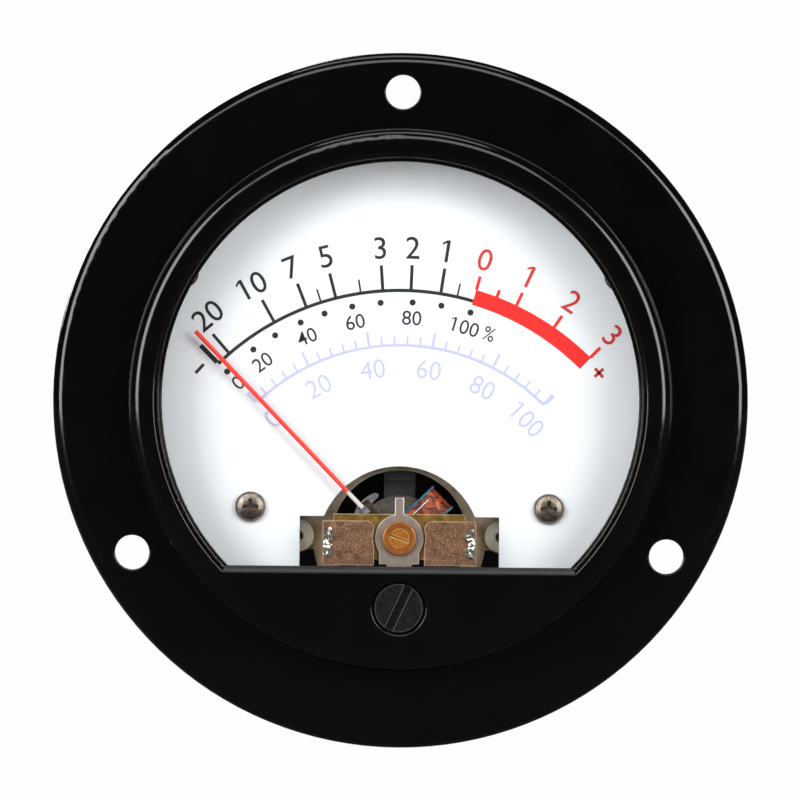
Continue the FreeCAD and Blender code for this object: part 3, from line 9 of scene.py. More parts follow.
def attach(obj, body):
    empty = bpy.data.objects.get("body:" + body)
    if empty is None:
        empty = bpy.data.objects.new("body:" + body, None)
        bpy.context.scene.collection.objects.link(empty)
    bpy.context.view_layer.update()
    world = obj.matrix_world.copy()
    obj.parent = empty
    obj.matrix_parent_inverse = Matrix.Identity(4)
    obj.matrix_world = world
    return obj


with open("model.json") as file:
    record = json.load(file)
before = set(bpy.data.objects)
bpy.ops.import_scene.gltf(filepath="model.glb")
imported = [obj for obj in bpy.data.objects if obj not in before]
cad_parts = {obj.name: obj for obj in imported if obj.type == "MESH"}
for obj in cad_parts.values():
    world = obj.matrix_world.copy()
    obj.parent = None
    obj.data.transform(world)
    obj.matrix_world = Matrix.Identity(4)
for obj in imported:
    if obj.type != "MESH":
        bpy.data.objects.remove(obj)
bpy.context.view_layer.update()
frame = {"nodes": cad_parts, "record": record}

mm = 0.001
scene = bpy.context.scene
nodes = frame["nodes"]
print("stage: frame loaded")


# Colours and shader nodes
def linear(hexColour):
    # Linear colour of a six-figure sRGB one
    channels = []
    for n in (0, 2, 4):
        c = int(hexColour[n:n + 2], 16) / 255
        channels.append(c / 12.92 if c <= 0.04045 else ((c + 0.055) / 1.055) ** 2.4)
    return (*channels, 1.0)


def addNode(tree, kind, inputs=None, **settings):
    # New node, whose inputs are values or the outputs of other nodes
    item = tree.nodes.new(kind)
    for name, value in settings.items():
        setattr(item, name, value)
    for name, value in (inputs or {}).items():
        if isinstance(value, bpy.types.NodeSocket):
            tree.links.new(value, item.inputs[name])
        else:
            item.inputs[name].default_value = value
    return item


def newMaterial(name):
    # Empty material, with its node tree and its output
    material = bpy.data.materials.new(name)
    material.use_nodes = True
    tree = material.node_tree
    tree.nodes.clear()
    output = addNode(tree, "ShaderNodeOutputMaterial")
    return material, tree, output


def noiseAt(tree, sizeMm, detail=3.0, stretch=(1, 1, 1), distortion=0.0):
    # Noise whose grains are about sizeMm across, in object space
    place = addNode(tree, "ShaderNodeTexCoord")
    scaled = addNode(tree, "ShaderNodeMapping", {"Vector": place.outputs["Object"], "Scale": stretch})
    return addNode(tree, "ShaderNodeTexNoise", {
        "Vector": scaled.outputs["Vector"], "Scale": 1 / (sizeMm * mm), "Detail": detail,
        "Distortion": distortion})


def ramp(tree, value, low, high, first, last):
    # Value mapped from low-high to first-last, held at both ends
    mapped = addNode(tree, "ShaderNodeMapRange", {
        "Value": value, "From Min": low, "From Max": high, "To Min": first, "To Max": last})
    return mapped.outputs["Result"]


def blendColours(tree, factor, first, last):
    # A colour mix has its factor at socket 0, its colours at 6 and 7, and its result at output 2
    return addNode(tree, "ShaderNodeMix", {0: factor, 6: first, 7: last}, data_type="RGBA").outputs[2]


# What all the plain finishes share. The two dots are cosines between the real and the rounded
# direction, at which an edge's painted highlight begins and is full.
common = {
    "roundedSamples": 8,
    "flatDot": 0.999,
    "edgeDot": 0.96,
    "patchDetail": 4.0,
    "patchTwist": 0.4,
    "glossPatchShare": 0.37,
    "glossRange": (0.35, 0.65),
    "scratchRange": (0.56, 0.66),
    "coatRoughness": 0.06,
}


def roundedNormal(tree, radiusMm):
    # The surface's direction as if its sharp edges were rounded
    rounded = addNode(tree, "ShaderNodeBevel", {"Radius": radiusMm * mm}, samples=common["roundedSamples"])
    return rounded.outputs[0]


def edgeMask(tree, widthMm):
    # Factor that rises to 1 on the narrow bands beside a sharp edge
    plain = addNode(tree, "ShaderNodeNewGeometry").outputs["Normal"]
    same = addNode(tree, "ShaderNodeVectorMath", {0: roundedNormal(tree, widthMm), 1: plain},
                   operation="DOT_PRODUCT")
    return ramp(tree, same.outputs["Value"], common["flatDot"], common["edgeDot"], 0.0, 1.0)


def surface(name, colours, patch, rough, grain, metallic=0.0, scratch=None, coat=0.0, specular=0.5,
            paintedEdgeHighlight=None, softenMm=0.0):
    # Two mixed colours, uneven gloss, a fine grain and, where given, scratches, a painted highlight along
    # the edges and softened edges
    material, tree, output = newMaterial(name)
    patchMm, contrast = patch
    roughMean, roughSpread = rough
    grainMm, reliefMm = grain
    patches = noiseAt(tree, patchMm, common["patchDetail"], distortion=common["patchTwist"])
    factor = ramp(tree, patches.outputs["Fac"], 0.5 - contrast, 0.5 + contrast, 0.0, 1.0)
    base = blendColours(tree, factor, *map(linear, colours))
    gloss = noiseAt(tree, patchMm * common["glossPatchShare"], 3.0)
    roughness = ramp(tree, gloss.outputs["Fac"], *common["glossRange"], roughMean - roughSpread,
                     roughMean + roughSpread)
    height = noiseAt(tree, grainMm, 2.0).outputs["Fac"]
    if scratch:
        scratchMm, stretch = scratch
        lines = noiseAt(tree, scratchMm, 2.0, stretch=stretch)
        marks = ramp(tree, lines.outputs["Fac"], *common["scratchRange"], 0.0, 1.0)
        height = addNode(tree, "ShaderNodeMath", {0: height, 1: marks}, operation="SUBTRACT").outputs[0]
    # Painted highlight: a pale colour laid along the sharp edges
    if paintedEdgeHighlight:
        edgeMm, edgeHighlightColour = paintedEdgeHighlight
        base = blendColours(tree, edgeMask(tree, edgeMm), base, linear(edgeHighlightColour))
    relief = addNode(tree, "ShaderNodeBump", {"Height": height, "Distance": reliefMm * mm, "Strength": 1.0})
    if softenMm:
        tree.links.new(roundedNormal(tree, softenMm), relief.inputs["Normal"])
    shader = addNode(tree, "ShaderNodeBsdfPrincipled", {
        "Base Color": base, "Metallic": metallic, "Roughness": roughness,
        "Normal": relief.outputs["Normal"], "Specular IOR Level": specular, "Coat Weight": coat,
        "Coat Roughness": common["coatRoughness"]})
    tree.links.new(shader.outputs[0], output.inputs["Surface"])
    return material


# In a plain material patch is (its size mm, contrast), rough is (mean, spread), grain is (its size mm,
# relief mm), scratch is (its width mm, stretch along X, Y and Z) and the painted edge highlight is (its
# width mm, colour).
materials = {
    # Polished phenolic moulding: near black, with faint flow marks
    "black_moulding": surface("phenolicBlack", colours=("020202", "050303"), patch=(11.0, 0.3),
                              rough=(0.12, 0.02), grain=(0.5, 0.0002), specular=0.38, softenMm=0.3),
    # Case moulding with a fine matte texture
    "case_black": surface("matteCaseBlack", colours=("101011", "171718"), patch=(6.0, 0.2),
                          rough=(0.5, 0.06), grain=(0.25, 0.02)),
    # Charcoal nylon adjuster with scuffs, and a painted highlight along its edges
    "adjuster_black": surface("scuffedCharcoal", colours=("0C0C0D", "161617"), patch=(0.7, 0.2),
                              rough=(0.3, 0.06), grain=(0.12, 0.004), scratch=(1.2, (1, 1, 7)),
                              specular=0.2, paintedEdgeHighlight=(0.16, "3C3C40")),
    # Nickel plate on the screws, dulled to a warm grey
    "aged_nickel": surface("agedNickel", colours=("8F8478", "5D5148"), patch=(0.5, 0.2), metallic=1.0,
                           rough=(0.36, 0.08), grain=(0.09, 0.003), scratch=(0.6, (1, 1, 8))),
    # Bright zinc on steel
    "steel": surface("zincSteel", colours=("B4B4B6", "90909A"), patch=(0.9, 0.2), metallic=1.0,
                     rough=(0.36, 0.08), grain=(0.1, 0.002)),
    # Sheet brass, smooth from the mill, with a painted highlight along its edges
    "brass": surface("bareBrass", colours=("BC9650", "92703A"), patch=(1.6, 0.25), metallic=1.0,
                     rough=(0.38, 0.06), grain=(0.2, 0.0008), paintedEdgeHighlight=(0.14, "FFE8B0")),
    # Thin arm with a dark oxide and a painted highlight along its edges
    "dark_carrier": surface("oxidisedArm", colours=("5A4C44", "342A26"), patch=(0.6, 0.2), metallic=0.8,
                            rough=(0.4, 0.08), grain=(0.1, 0.002), paintedEdgeHighlight=(0.1, "D8CCC0")),
    # Varnish on the bobbin's edges
    "bobbin_varnish": surface("blueGreenVarnish", colours=("2A8494", "1A4A6A"), patch=(0.8, 0.2),
                              metallic=0.2, rough=(0.3, 0.06), grain=(0.1, 0.002), coat=0.6),
    # Fine bright wire of the coil's leads
    "fine_silver": surface("drawnSilver", colours=("E4E2DE", "B8B6B2"), patch=(0.3, 0.2), metallic=1.0,
                           rough=(0.32, 0.05), grain=(0.08, 0.001)),
    # Flat rolled bronze of the hairsprings
    "spring_bronze": surface("phosphorBronze", colours=("B98952", "94683A"), patch=(0.6, 0.2),
                             metallic=1.0, rough=(0.34, 0.05), grain=(0.1, 0.001)),
    # Yoke iron under a warm passivated plate, with a painted highlight along its edges
    "beige_plate": surface("passivatedPlate", colours=("BCAA96", "98866E"), patch=(1.0, 0.25),
                           metallic=0.6, rough=(0.46, 0.08), grain=(0.14, 0.004),
                           scratch=(0.9, (7, 1, 1)), paintedEdgeHighlight=(0.14, "F0E4D0")),
    # Undyed nylon, slightly yellow
    "nylon": surface("naturalNylon", colours=("E6E2D4", "D2CDBE"), patch=(0.8, 0.2), rough=(0.42, 0.06),
                     grain=(0.15, 0.006)),
    # Cast magnet alloy with its rough skin
    "magnet_grey": surface("castMagnet", colours=("5A4E48", "3A322E"), patch=(0.8, 0.25), metallic=0.3,
                           rough=(0.5, 0.08), grain=(0.12, 0.02)),
    # Dark moulded supports of the core, darkened further overall to near black as painted shade for their
    # shadowed lower part
    "support_grey": surface("shadeDarkenedSupport", colours=("141416", "1E1E20"), patch=(0.8, 0.2),
                            rough=(0.5, 0.06), grain=(0.12, 0.01)),
    # Solder: bright, lumpy and quickly cooled
    "bright_tin": surface("brightTin", colours=("F0ECE4", "B8B0A0"), patch=(0.3, 0.25), metallic=1.0,
                          rough=(0.24, 0.08), grain=(0.22, 0.03)),
    # Locking lacquer over brass: amber and wet, with a painted highlight along its edges
    "orange_lacquer": surface("orangeLacquer", colours=("B8702C", "8A4414"), patch=(0.8, 0.25),
                              metallic=0.6, rough=(0.34, 0.05), grain=(0.3, 0.002), coat=0.9,
                              paintedEdgeHighlight=(0.12, "F0B468")),
    # The same lacquer, thinner and brighter on the screw's head, with a painted highlight along its edges
    "lacqueredScrew": surface("lacqueredScrew", colours=("E89838", "C4701E"), patch=(0.5, 0.25),
                              metallic=0.75, rough=(0.32, 0.05), grain=(0.3, 0.0015), coat=0.9,
                              paintedEdgeHighlight=(0.12, "FFD890")),
    # Synthetic ruby of the cup bearings
    "sapphire": surface("redSapphire", colours=("B03040", "8A2030"), patch=(0.4, 0.2), rough=(0.08, 0.03),
                        grain=(0.1, 0.001)),
    # Inner frame moulding, unpolished
    "frame_black": surface("frameMoulding", colours=("0E0E0E", "181716"), patch=(2.0, 0.2),
                           rough=(0.5, 0.06), grain=(0.2, 0.01)),
    # Soft plastic covers of the two inner leads
    "red_insulation": surface("redInsulation", colours=("A01818", "861010"), patch=(1.2, 0.2),
                              rough=(0.5, 0.06), grain=(0.15, 0.01)),
    "black_insulation": surface("blackInsulation", colours=("141414", "1E1E1E"), patch=(1.2, 0.2),
                                rough=(0.5, 0.06), grain=(0.15, 0.01)),
    # Sprayed satin enamel, a faintly cool white
    "dial_paint": surface("dialPaint", colours=("DCDCDF", "D8D8DB"), patch=(6.0, 0.3), rough=(0.62, 0.04),
                          grain=(0.12, 0.004), specular=0.3),
}
print("stage: plain materials")


# The moving coil's axis across and up, and its turn from pointer-up to rest in degrees
movement = {
    "axisMm": (0.0, -15.9),
    "restTurn": -43.9,
}
pane = {
    "hazeMm": 7.0,
    "roughness": (0.015, 0.05),
    "tint": "FBFCFC",
    "refraction": 1.45,
}


def makeClearPane():
    # Thin clear pane: straight through, with a faint mirror that grows at a slant
    material, tree, output = newMaterial("clearPane")
    haze = noiseAt(tree, pane["hazeMm"], 3.0)
    rough = ramp(tree, haze.outputs["Fac"], 0.3, 0.7, *pane["roughness"])
    through = addNode(tree, "ShaderNodeBsdfTransparent", {"Color": linear(pane["tint"])})
    mirror = addNode(tree, "ShaderNodeBsdfGlossy", {"Roughness": rough})
    # Only the face that a ray meets from outside mirrors, since rays aren't bent inside the pane
    slant = addNode(tree, "ShaderNodeFresnel", {"IOR": pane["refraction"]})
    inside = addNode(tree, "ShaderNodeNewGeometry").outputs["Backfacing"]
    outside = addNode(tree, "ShaderNodeMath", {0: 1.0, 1: inside}, operation="SUBTRACT")
    share = addNode(tree, "ShaderNodeMath", {0: slant.outputs[0], 1: outside.outputs[0]},
                    operation="MULTIPLY")
    mix = addNode(tree, "ShaderNodeMixShader", {
        0: share.outputs[0], 1: through.outputs[0], 2: mirror.outputs[0]})
    tree.links.new(mix.outputs[0], output.inputs["Surface"])
    return material


enamel = {
    "depthMm": -1.25,
    "clearRootMm": 7.9,
    "fadeMm": 0.25,
    "streakMm": 0.5,
    "red": ("F03A28", "D62418"),
    "clear": ("D9CFC9", "B9AEA8"),
    "reliefMm": 0.004,
    "roughness": 0.32,
    "coat": 0.3,
}


def makePointerEnamel():
    # Red enamel that ends in a clear root, measured along the pointer from its axis
    material, tree, output = newMaterial("pointerEnamel")
    place = addNode(tree, "ShaderNodeTexCoord")
    x, z = movement["axisMm"]
    axis = (x * mm, enamel["depthMm"] * mm, z * mm)
    offset = addNode(tree, "ShaderNodeVectorMath", {0: place.outputs["Object"], 1: axis},
                     operation="SUBTRACT")
    length = addNode(tree, "ShaderNodeVectorMath", {0: offset.outputs[0]}, operation="LENGTH")
    redFrom = enamel["clearRootMm"]
    red = ramp(tree, length.outputs["Value"], redFrom * mm, (redFrom + enamel["fadeMm"]) * mm, 0.0, 1.0)
    streak = noiseAt(tree, enamel["streakMm"], 3.0).outputs["Fac"]
    paint = blendColours(tree, streak, *map(linear, enamel["red"]))
    clear = blendColours(tree, streak, *map(linear, enamel["clear"]))
    base = blendColours(tree, red, clear, paint)
    relief = addNode(tree, "ShaderNodeBump", {"Height": streak, "Distance": enamel["reliefMm"] * mm})
    shader = addNode(tree, "ShaderNodeBsdfPrincipled", {
        "Base Color": base, "Roughness": enamel["roughness"], "Normal": relief.outputs["Normal"],
        "Coat Weight": enamel["coat"]})
    tree.links.new(shader.outputs[0], output.inputs["Surface"])
    return material


board = {
    "patchMm": 0.9,
    "patchTwist": 0.3,
    "patchRange": (0.35, 0.65),
    "speckMm": 0.12,
    "brown": ("583622", "7A543C"),
    "speckColour": "C8AC8C",
    "speckRange": (0.57, 0.66),
    "speckStrength": 0.8,
    "edgeMm": 0.12,
    "edgeHighlightColour": "D8B898",
    "reliefMm": 0.012,
    "roughness": (0.3, 0.42),
    "metallic": 0.25,
    "coat": 0.4,
    "coatRoughness": 0.15,
}


def makeBoard():
    # Brown phenolic paper: fine light speckle on two browns, with a painted highlight along the edges
    material, tree, output = newMaterial("phenolicPaper")
    coarse = noiseAt(tree, board["patchMm"], 4.0, distortion=board["patchTwist"]).outputs["Fac"]
    fine = noiseAt(tree, board["speckMm"], 3.0).outputs["Fac"]
    shade = ramp(tree, coarse, *board["patchRange"], 0.0, 1.0)
    base = blendColours(tree, shade, *map(linear, board["brown"]))
    speck = ramp(tree, fine, *board["speckRange"], 0.0, board["speckStrength"])
    base = blendColours(tree, speck, base, linear(board["speckColour"]))
    # Painted highlight along the edges
    base = blendColours(tree, edgeMask(tree, board["edgeMm"]), base, linear(board["edgeHighlightColour"]))
    relief = addNode(tree, "ShaderNodeBump", {"Height": fine, "Distance": board["reliefMm"] * mm})
    rough = ramp(tree, coarse, 0.3, 0.7, *board["roughness"])
    shader = addNode(tree, "ShaderNodeBsdfPrincipled", {
        "Base Color": base, "Roughness": rough, "Metallic": board["metallic"],
        "Normal": relief.outputs["Normal"], "Coat Weight": board["coat"],
        "Coat Roughness": board["coatRoughness"]})
    tree.links.new(shader.outputs[0], output.inputs["Surface"])
    return material


copper = {
    "patchMm": 1.3,
    "patchTwist": 1.5,
    "patchRange": (0.42, 0.6),
    "colours": ("541A10", "C05A30"),
    "reliefMm": 0.01,
    "metallic": 0.7,
    "roughness": 0.32,
    "coat": 0.5,
}


def makeWinding():
    # Varnished copper wire, mottled from dark red to orange: partly the varnish's uneven tone, partly
    # painted reflections and highlights
    material, tree, output = newMaterial("copperWinding")
    tone = noiseAt(tree, copper["patchMm"], 4.0, distortion=copper["patchTwist"]).outputs["Fac"]
    # Orange patches here are partly painted highlights
    shade = ramp(tree, tone, *copper["patchRange"], 0.0, 1.0)
    base = blendColours(tree, shade, *map(linear, copper["colours"]))
    relief = addNode(tree, "ShaderNodeBump", {"Height": tone, "Distance": copper["reliefMm"] * mm})
    shader = addNode(tree, "ShaderNodeBsdfPrincipled", {
        "Base Color": base, "Metallic": copper["metallic"], "Roughness": copper["roughness"],
        "Normal": relief.outputs["Normal"], "Coat Weight": copper["coat"]})
    tree.links.new(shader.outputs[0], output.inputs["Surface"])
    return material


aluminium = {
    "patchMm": 0.7,
    "patchTwist": 0.5,
    "colours": ("86766A", "A8988E"),
    "edgeMm": 0.16,
    "edgeHighlightColour": "F6F2EE",
    "brushMm": 0.25,
    "brushStretch": (1, 1, 10),
    "reliefMm": 0.003,
    "metallic": 0.7,
    "roughness": 0.42,
}


def makeRegulator():
    # Bright warm-tinted aluminium with a painted highlight along its milled edges
    material, tree, output = newMaterial("milledAluminium")
    tone = noiseAt(tree, aluminium["patchMm"], 3.0, distortion=aluminium["patchTwist"]).outputs["Fac"]
    base = blendColours(tree, tone, *map(linear, aluminium["colours"]))
    # Painted highlight along the milled edges
    base = blendColours(tree, edgeMask(tree, aluminium["edgeMm"]), base, linear(aluminium["edgeHighlightColour"]))
    brushed = noiseAt(tree, aluminium["brushMm"], 2.0, stretch=aluminium["brushStretch"]).outputs["Fac"]
    relief = addNode(tree, "ShaderNodeBump", {"Height": brushed, "Distance": aluminium["reliefMm"] * mm})
    shader = addNode(tree, "ShaderNodeBsdfPrincipled", {
        "Base Color": base, "Metallic": aluminium["metallic"], "Roughness": aluminium["roughness"],
        "Normal": relief.outputs["Normal"]})
    tree.links.new(shader.outputs[0], output.inputs["Surface"])
    return material


printing = {
    "grainMm": 0.25,
    "coverSpread": 0.2,
    "reliefMm": 0.003,
    "roughness": 0.5,
    "specular": 0.35,
}


def makeInk(name, dark, light, coverage):
    # Screen-printed ink: slightly uneven cover over the dial's paint
    material, tree, output = newMaterial(name)
    cover = noiseAt(tree, printing["grainMm"], 4.0).outputs["Fac"]
    thin = ramp(tree, cover, coverage, coverage + printing["coverSpread"], 0.0, 1.0)
    base = blendColours(tree, thin, linear(dark), linear(light))
    relief = addNode(tree, "ShaderNodeBump", {"Height": cover, "Distance": printing["reliefMm"] * mm})
    shader = addNode(tree, "ShaderNodeBsdfPrincipled", {
        "Base Color": base, "Roughness": printing["roughness"], "Normal": relief.outputs["Normal"],
        "Specular IOR Level": printing["specular"]})
    tree.links.new(shader.outputs[0], output.inputs["Surface"])
    return material


materials["clear_pane"] = makeClearPane()
materials["red_pointer"] = makePointerEnamel()
materials["brown_board"] = makeBoard()
materials["copper_winding"] = makeWinding()
materials["pale_regulator"] = makeRegulator()
# Each ink: its name, colour where it covers, colour where it is thin, and how much covers
inks = {
    "black": makeInk("blackInk", "1E1E20", "3A3A3E", 0.58),
    "red": makeInk("redInk", "DC1A14", "E02C22", 0.6),
    "digitRed": makeInk("digitRedInk", "BE2A26", "C84440", 0.6),
    "lavender": makeInk("lavenderInk", "AFAFD0", "BCBCD8", 0.6),
}
print("stage: special materials")


# Dress the CAD nodes
slotOf = {row["node"]: row["material_slot"] for row in frame["record"]["subparts"]}
# The two nodes whose finish differs from their slot's, and how edges are shaded and rounded
finishes = {
    "lacqueredScrew": "front_jewel_screw",
    "plainFerrule": "pointer_clip",
    "joinMm": 0.001,
    "sharpAngle": 28.0,
    "bevelSegments": 2,
    "bevelAngle": 35,
    "bevelMm": {"bridge_boards": 0.12, "zero_regulator": 0.09, "front_lock_nut": 0.12, "yoke_ring": 0.08,
                "front_bridge": 0.05, "zero_adjuster": 0.1, "dial_screws": 0.08, "front_jewel_screw": 0.08,
                "pointer_carrier": 0.06, "terminal_nuts": 0.2, "stud_nuts": 0.2, "closure_screws": 0.1,
                "coil_bobbin": 0.03, "yoke_washers": 0.15, "solder_lugs": 0.08, "stud_washers": 0.08},
}


def shadingTree():
    # Joins split corners and keeps only the real edges sharp
    tree = bpy.data.node_groups.new("edgeShading", "GeometryNodeTree")
    for way in ("INPUT", "OUTPUT"):
        tree.interface.new_socket("Geometry", in_out=way, socket_type="NodeSocketGeometry")
    given = tree.nodes.new("NodeGroupInput").outputs
    joined = addNode(tree, "GeometryNodeMergeByDistance", {
        "Geometry": given[0], "Distance": finishes["joinMm"] * mm})
    smooth = addNode(tree, "GeometryNodeSetShadeSmooth", {
        0: joined.outputs[0], "Shade Smooth": True}, domain="FACE")
    angle = addNode(tree, "GeometryNodeInputMeshEdgeAngle").outputs[0]
    steep = addNode(tree, "ShaderNodeMath", {
        0: angle, 1: math.radians(finishes["sharpAngle"])}, operation="GREATER_THAN")
    sharp = addNode(tree, "GeometryNodeSetShadeSmooth", {
        0: smooth.outputs[0], "Selection": steep.outputs[0], "Shade Smooth": False}, domain="EDGE")
    addNode(tree, "NodeGroupOutput", {0: sharp.outputs[0]})
    return tree


def dressNodes():
    # Material, smooth shading and narrow rounded edges for each CAD node, whose mesh stays as it is
    shading = shadingTree()
    for name, item in nodes.items():
        finish = slotOf[name]
        if name == finishes["lacqueredScrew"]:
            finish = "lacqueredScrew"
        if name == finishes["plainFerrule"]:
            finish = "steel"
        item.data.materials.clear()
        item.data.materials.append(materials[finish])
        item.modifiers.new("shading", "NODES").node_group = shading
        if name in finishes["bevelMm"]:
            edge = item.modifiers.new("edge", "BEVEL")
            edge.width = finishes["bevelMm"][name] * mm
            edge.segments = finishes["bevelSegments"]
            edge.limit_method = "ANGLE"
            edge.angle_limit = math.radians(finishes["bevelAngle"])
        item.modifiers.new("normals", "WEIGHTED_NORMAL").keep_sharp = True


dressNodes()
print("stage: CAD nodes dressed")


# Movement details that the solids leave out
def turnToRest(item):
    # From the pointer-up drawing to the rest position, left in the mesh itself
    x, z = movement["axisMm"]
    turn = Matrix.Rotation(math.radians(movement["restTurn"]), 4, "Y")
    item.data.transform(Matrix.Translation((x * mm, 0, z * mm)) @ turn)
    item.data.update()


def bakeNodes(item, tree, inputs):
    # Runs a node tree on an object and leaves its result as plain mesh
    changer = item.modifiers.new("build", "NODES")
    changer.node_group = tree
    for socket in tree.interface.items_tree:
        if socket.item_type == "SOCKET" and socket.in_out == "INPUT" and socket.name in inputs:
            changer[socket.identifier] = inputs[socket.name]
    bpy.context.view_layer.update()
    made = bpy.data.meshes.new_from_object(item.evaluated_get(bpy.context.evaluated_depsgraph_get()))
    old = item.data
    item.modifiers.clear()
    item.data = made
    bpy.data.meshes.remove(old)


# Separate turns of the coil, seen through the dial's cut-out
turns = {
    "count": 24,
    "wireMm": 0.12,
    "wireSides": 8,
    "halfWidthMm": 1.44,
    "loopHalfMm": 6.8,
    "loopEndMm": 5.9,
    "cornerMm": 0.6,
    "middleMm": 7.0,
}


def windingTree():
    # Rounded rectangular loops of wire, side by side across the coil
    tree = bpy.data.node_groups.new("windingTurns", "GeometryNodeTree")
    face = tree.interface
    face.new_socket("Geometry", in_out="INPUT", socket_type="NodeSocketGeometry")
    face.new_socket("Turns", in_out="INPUT", socket_type="NodeSocketInt")
    for name in ("Wire radius", "Half width", "Loop width", "Loop height", "Corner"):
        face.new_socket(name, in_out="INPUT", socket_type="NodeSocketFloat")
    face.new_socket("Material", in_out="INPUT", socket_type="NodeSocketMaterial")
    face.new_socket("Geometry", in_out="OUTPUT", socket_type="NodeSocketGeometry")
    given = tree.nodes.new("NodeGroupInput").outputs
    loop = addNode(tree, "GeometryNodeCurvePrimitiveQuadrilateral", {
        "Width": given["Loop width"], "Height": given["Loop height"]})
    rounded = addNode(tree, "GeometryNodeFilletCurve", {
        "Curve": loop.outputs[0], "Radius": given["Corner"]})
    section = addNode(tree, "GeometryNodeCurvePrimitiveCircle", {
        "Resolution": turns["wireSides"], "Radius": given["Wire radius"]})
    wire = addNode(tree, "GeometryNodeCurveToMesh", {
        "Curve": rounded.outputs[0], "Profile Curve": section.outputs[0]})
    low = addNode(tree, "ShaderNodeMath", {0: given["Half width"], 1: -1.0}, operation="MULTIPLY")
    start = addNode(tree, "ShaderNodeCombineXYZ", {"Z": low.outputs[0]})
    end = addNode(tree, "ShaderNodeCombineXYZ", {"Z": given["Half width"]})
    line = addNode(tree, "GeometryNodeMeshLine", {
        "Count": given["Turns"], "Start Location": start.outputs[0], "Offset": end.outputs[0]},
        mode="END_POINTS")
    copies = addNode(tree, "GeometryNodeInstanceOnPoints", {
        "Points": line.outputs[0], "Instance": wire.outputs[0]})
    real = addNode(tree, "GeometryNodeRealizeInstances", {"Geometry": copies.outputs[0]})
    painted = addNode(tree, "GeometryNodeSetMaterial", {
        "Geometry": real.outputs[0], "Material": given["Material"]})
    addNode(tree, "NodeGroupOutput", {"Geometry": painted.outputs[0]})
    return tree


def addWindingTurns():
    # The loops stand in the bobbin's slot and swing with the coil
    item = bpy.data.objects.new("windingTurns", bpy.data.meshes.new("windingTurns"))
    scene.collection.objects.link(item)
    bakeNodes(item, windingTree(), {
        "Turns": turns["count"], "Wire radius": turns["wireMm"] / 2 * mm,
        "Half width": turns["halfWidthMm"] * mm, "Loop width": turns["loopHalfMm"] * 2 * mm,
        "Loop height": turns["loopEndMm"] * 2 * mm, "Corner": turns["cornerMm"] * mm,
        "Material": materials["copper_winding"]})
    item.data.transform(Matrix.Translation((0, turns["middleMm"] * mm, 0)))
    turnToRest(item)
    for face in item.data.polygons:
        face.use_smooth = True
    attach(item, "moving_coil")


addWindingTurns()
print("stage: winding")


# Solder blobs at the boards' outer ends
solder = {
    "seed": 7,
    "middleMm": (8.15, -16.45),
    "spreadMm": (0.32, 1.45),
    "faceMm": -3.72,
    "blobs": 15,
    "radiusMm": (0.22, 0.46),
    "flatten": 0.55,
    "lean": (0.7, 1.3),
    "lump": 0.16,
    "lumpWaves": (17, 15),
}


def lumpiness(point, n):
    # How much a blob swells at a point of its surface
    acrossWave, upWave = solder["lumpWaves"]
    ripple = math.sin(point.x / mm * acrossWave + n) * math.sin(point.z / mm * upWave + 2 * n)
    return 1 + solder["lump"] * ripple


def addSolder():
    # A row of uneven blobs at each board's outer end
    dice = random.Random(solder["seed"])
    middleX, middleZ = solder["middleMm"]
    spreadX, spreadZ = solder["spreadMm"]
    work = bmesh.new()
    for side in (-1, 1):
        for n in range(solder["blobs"]):
            x = middleX * side + dice.uniform(-1, 1) * spreadX
            z = middleZ + spreadZ * (2 * n / (solder["blobs"] - 1) - 1)
            radius = dice.uniform(*solder["radiusMm"])
            made = bmesh.ops.create_icosphere(work, subdivisions=3, radius=radius * mm)["verts"]
            lean = dice.uniform(*solder["lean"])
            for v in made:
                lump = lumpiness(v.co, n)
                v.co = Vector((v.co.x * lump * lean + x * mm,
                               v.co.y * solder["flatten"] * lump + solder["faceMm"] * mm,
                               v.co.z * lump / lean + z * mm))
    mesh = bpy.data.meshes.new("solderBlobs")
    work.to_mesh(mesh)
    work.free()
    for face in mesh.polygons:
        face.use_smooth = True
    mesh.materials.append(materials["bright_tin"])
    item = bpy.data.objects.new("solderBlobs", mesh)
    scene.collection.objects.link(item)
    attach(item, "meter")


# Thin curved plate across the pointer's root
rootPlate = {
    "insideMm": 5.15,
    "outsideMm": 6.05,
    "fromDegrees": -20.0,
    "toDegrees": 18.0,
    "frontMm": -0.97,
    "rearMm": -0.75,
    "endWidthShare": 0.2,
    "steps": 18,
    "sharpRadians": 0.8,
    "edgeMm": 0.05,
}


def platePlace(share):
    # Direction and half width of the plate at a share of its length: broad, with rounded ends
    start, end = rootPlate["fromDegrees"], rootPlate["toDegrees"]
    roundness = math.sqrt(max(0.0, 1 - (2 * share - 1) ** 4))
    half = (rootPlate["outsideMm"] - rootPlate["insideMm"]) / 2
    return math.radians(start + (end - start) * share), half * max(rootPlate["endWidthShare"], roundness)


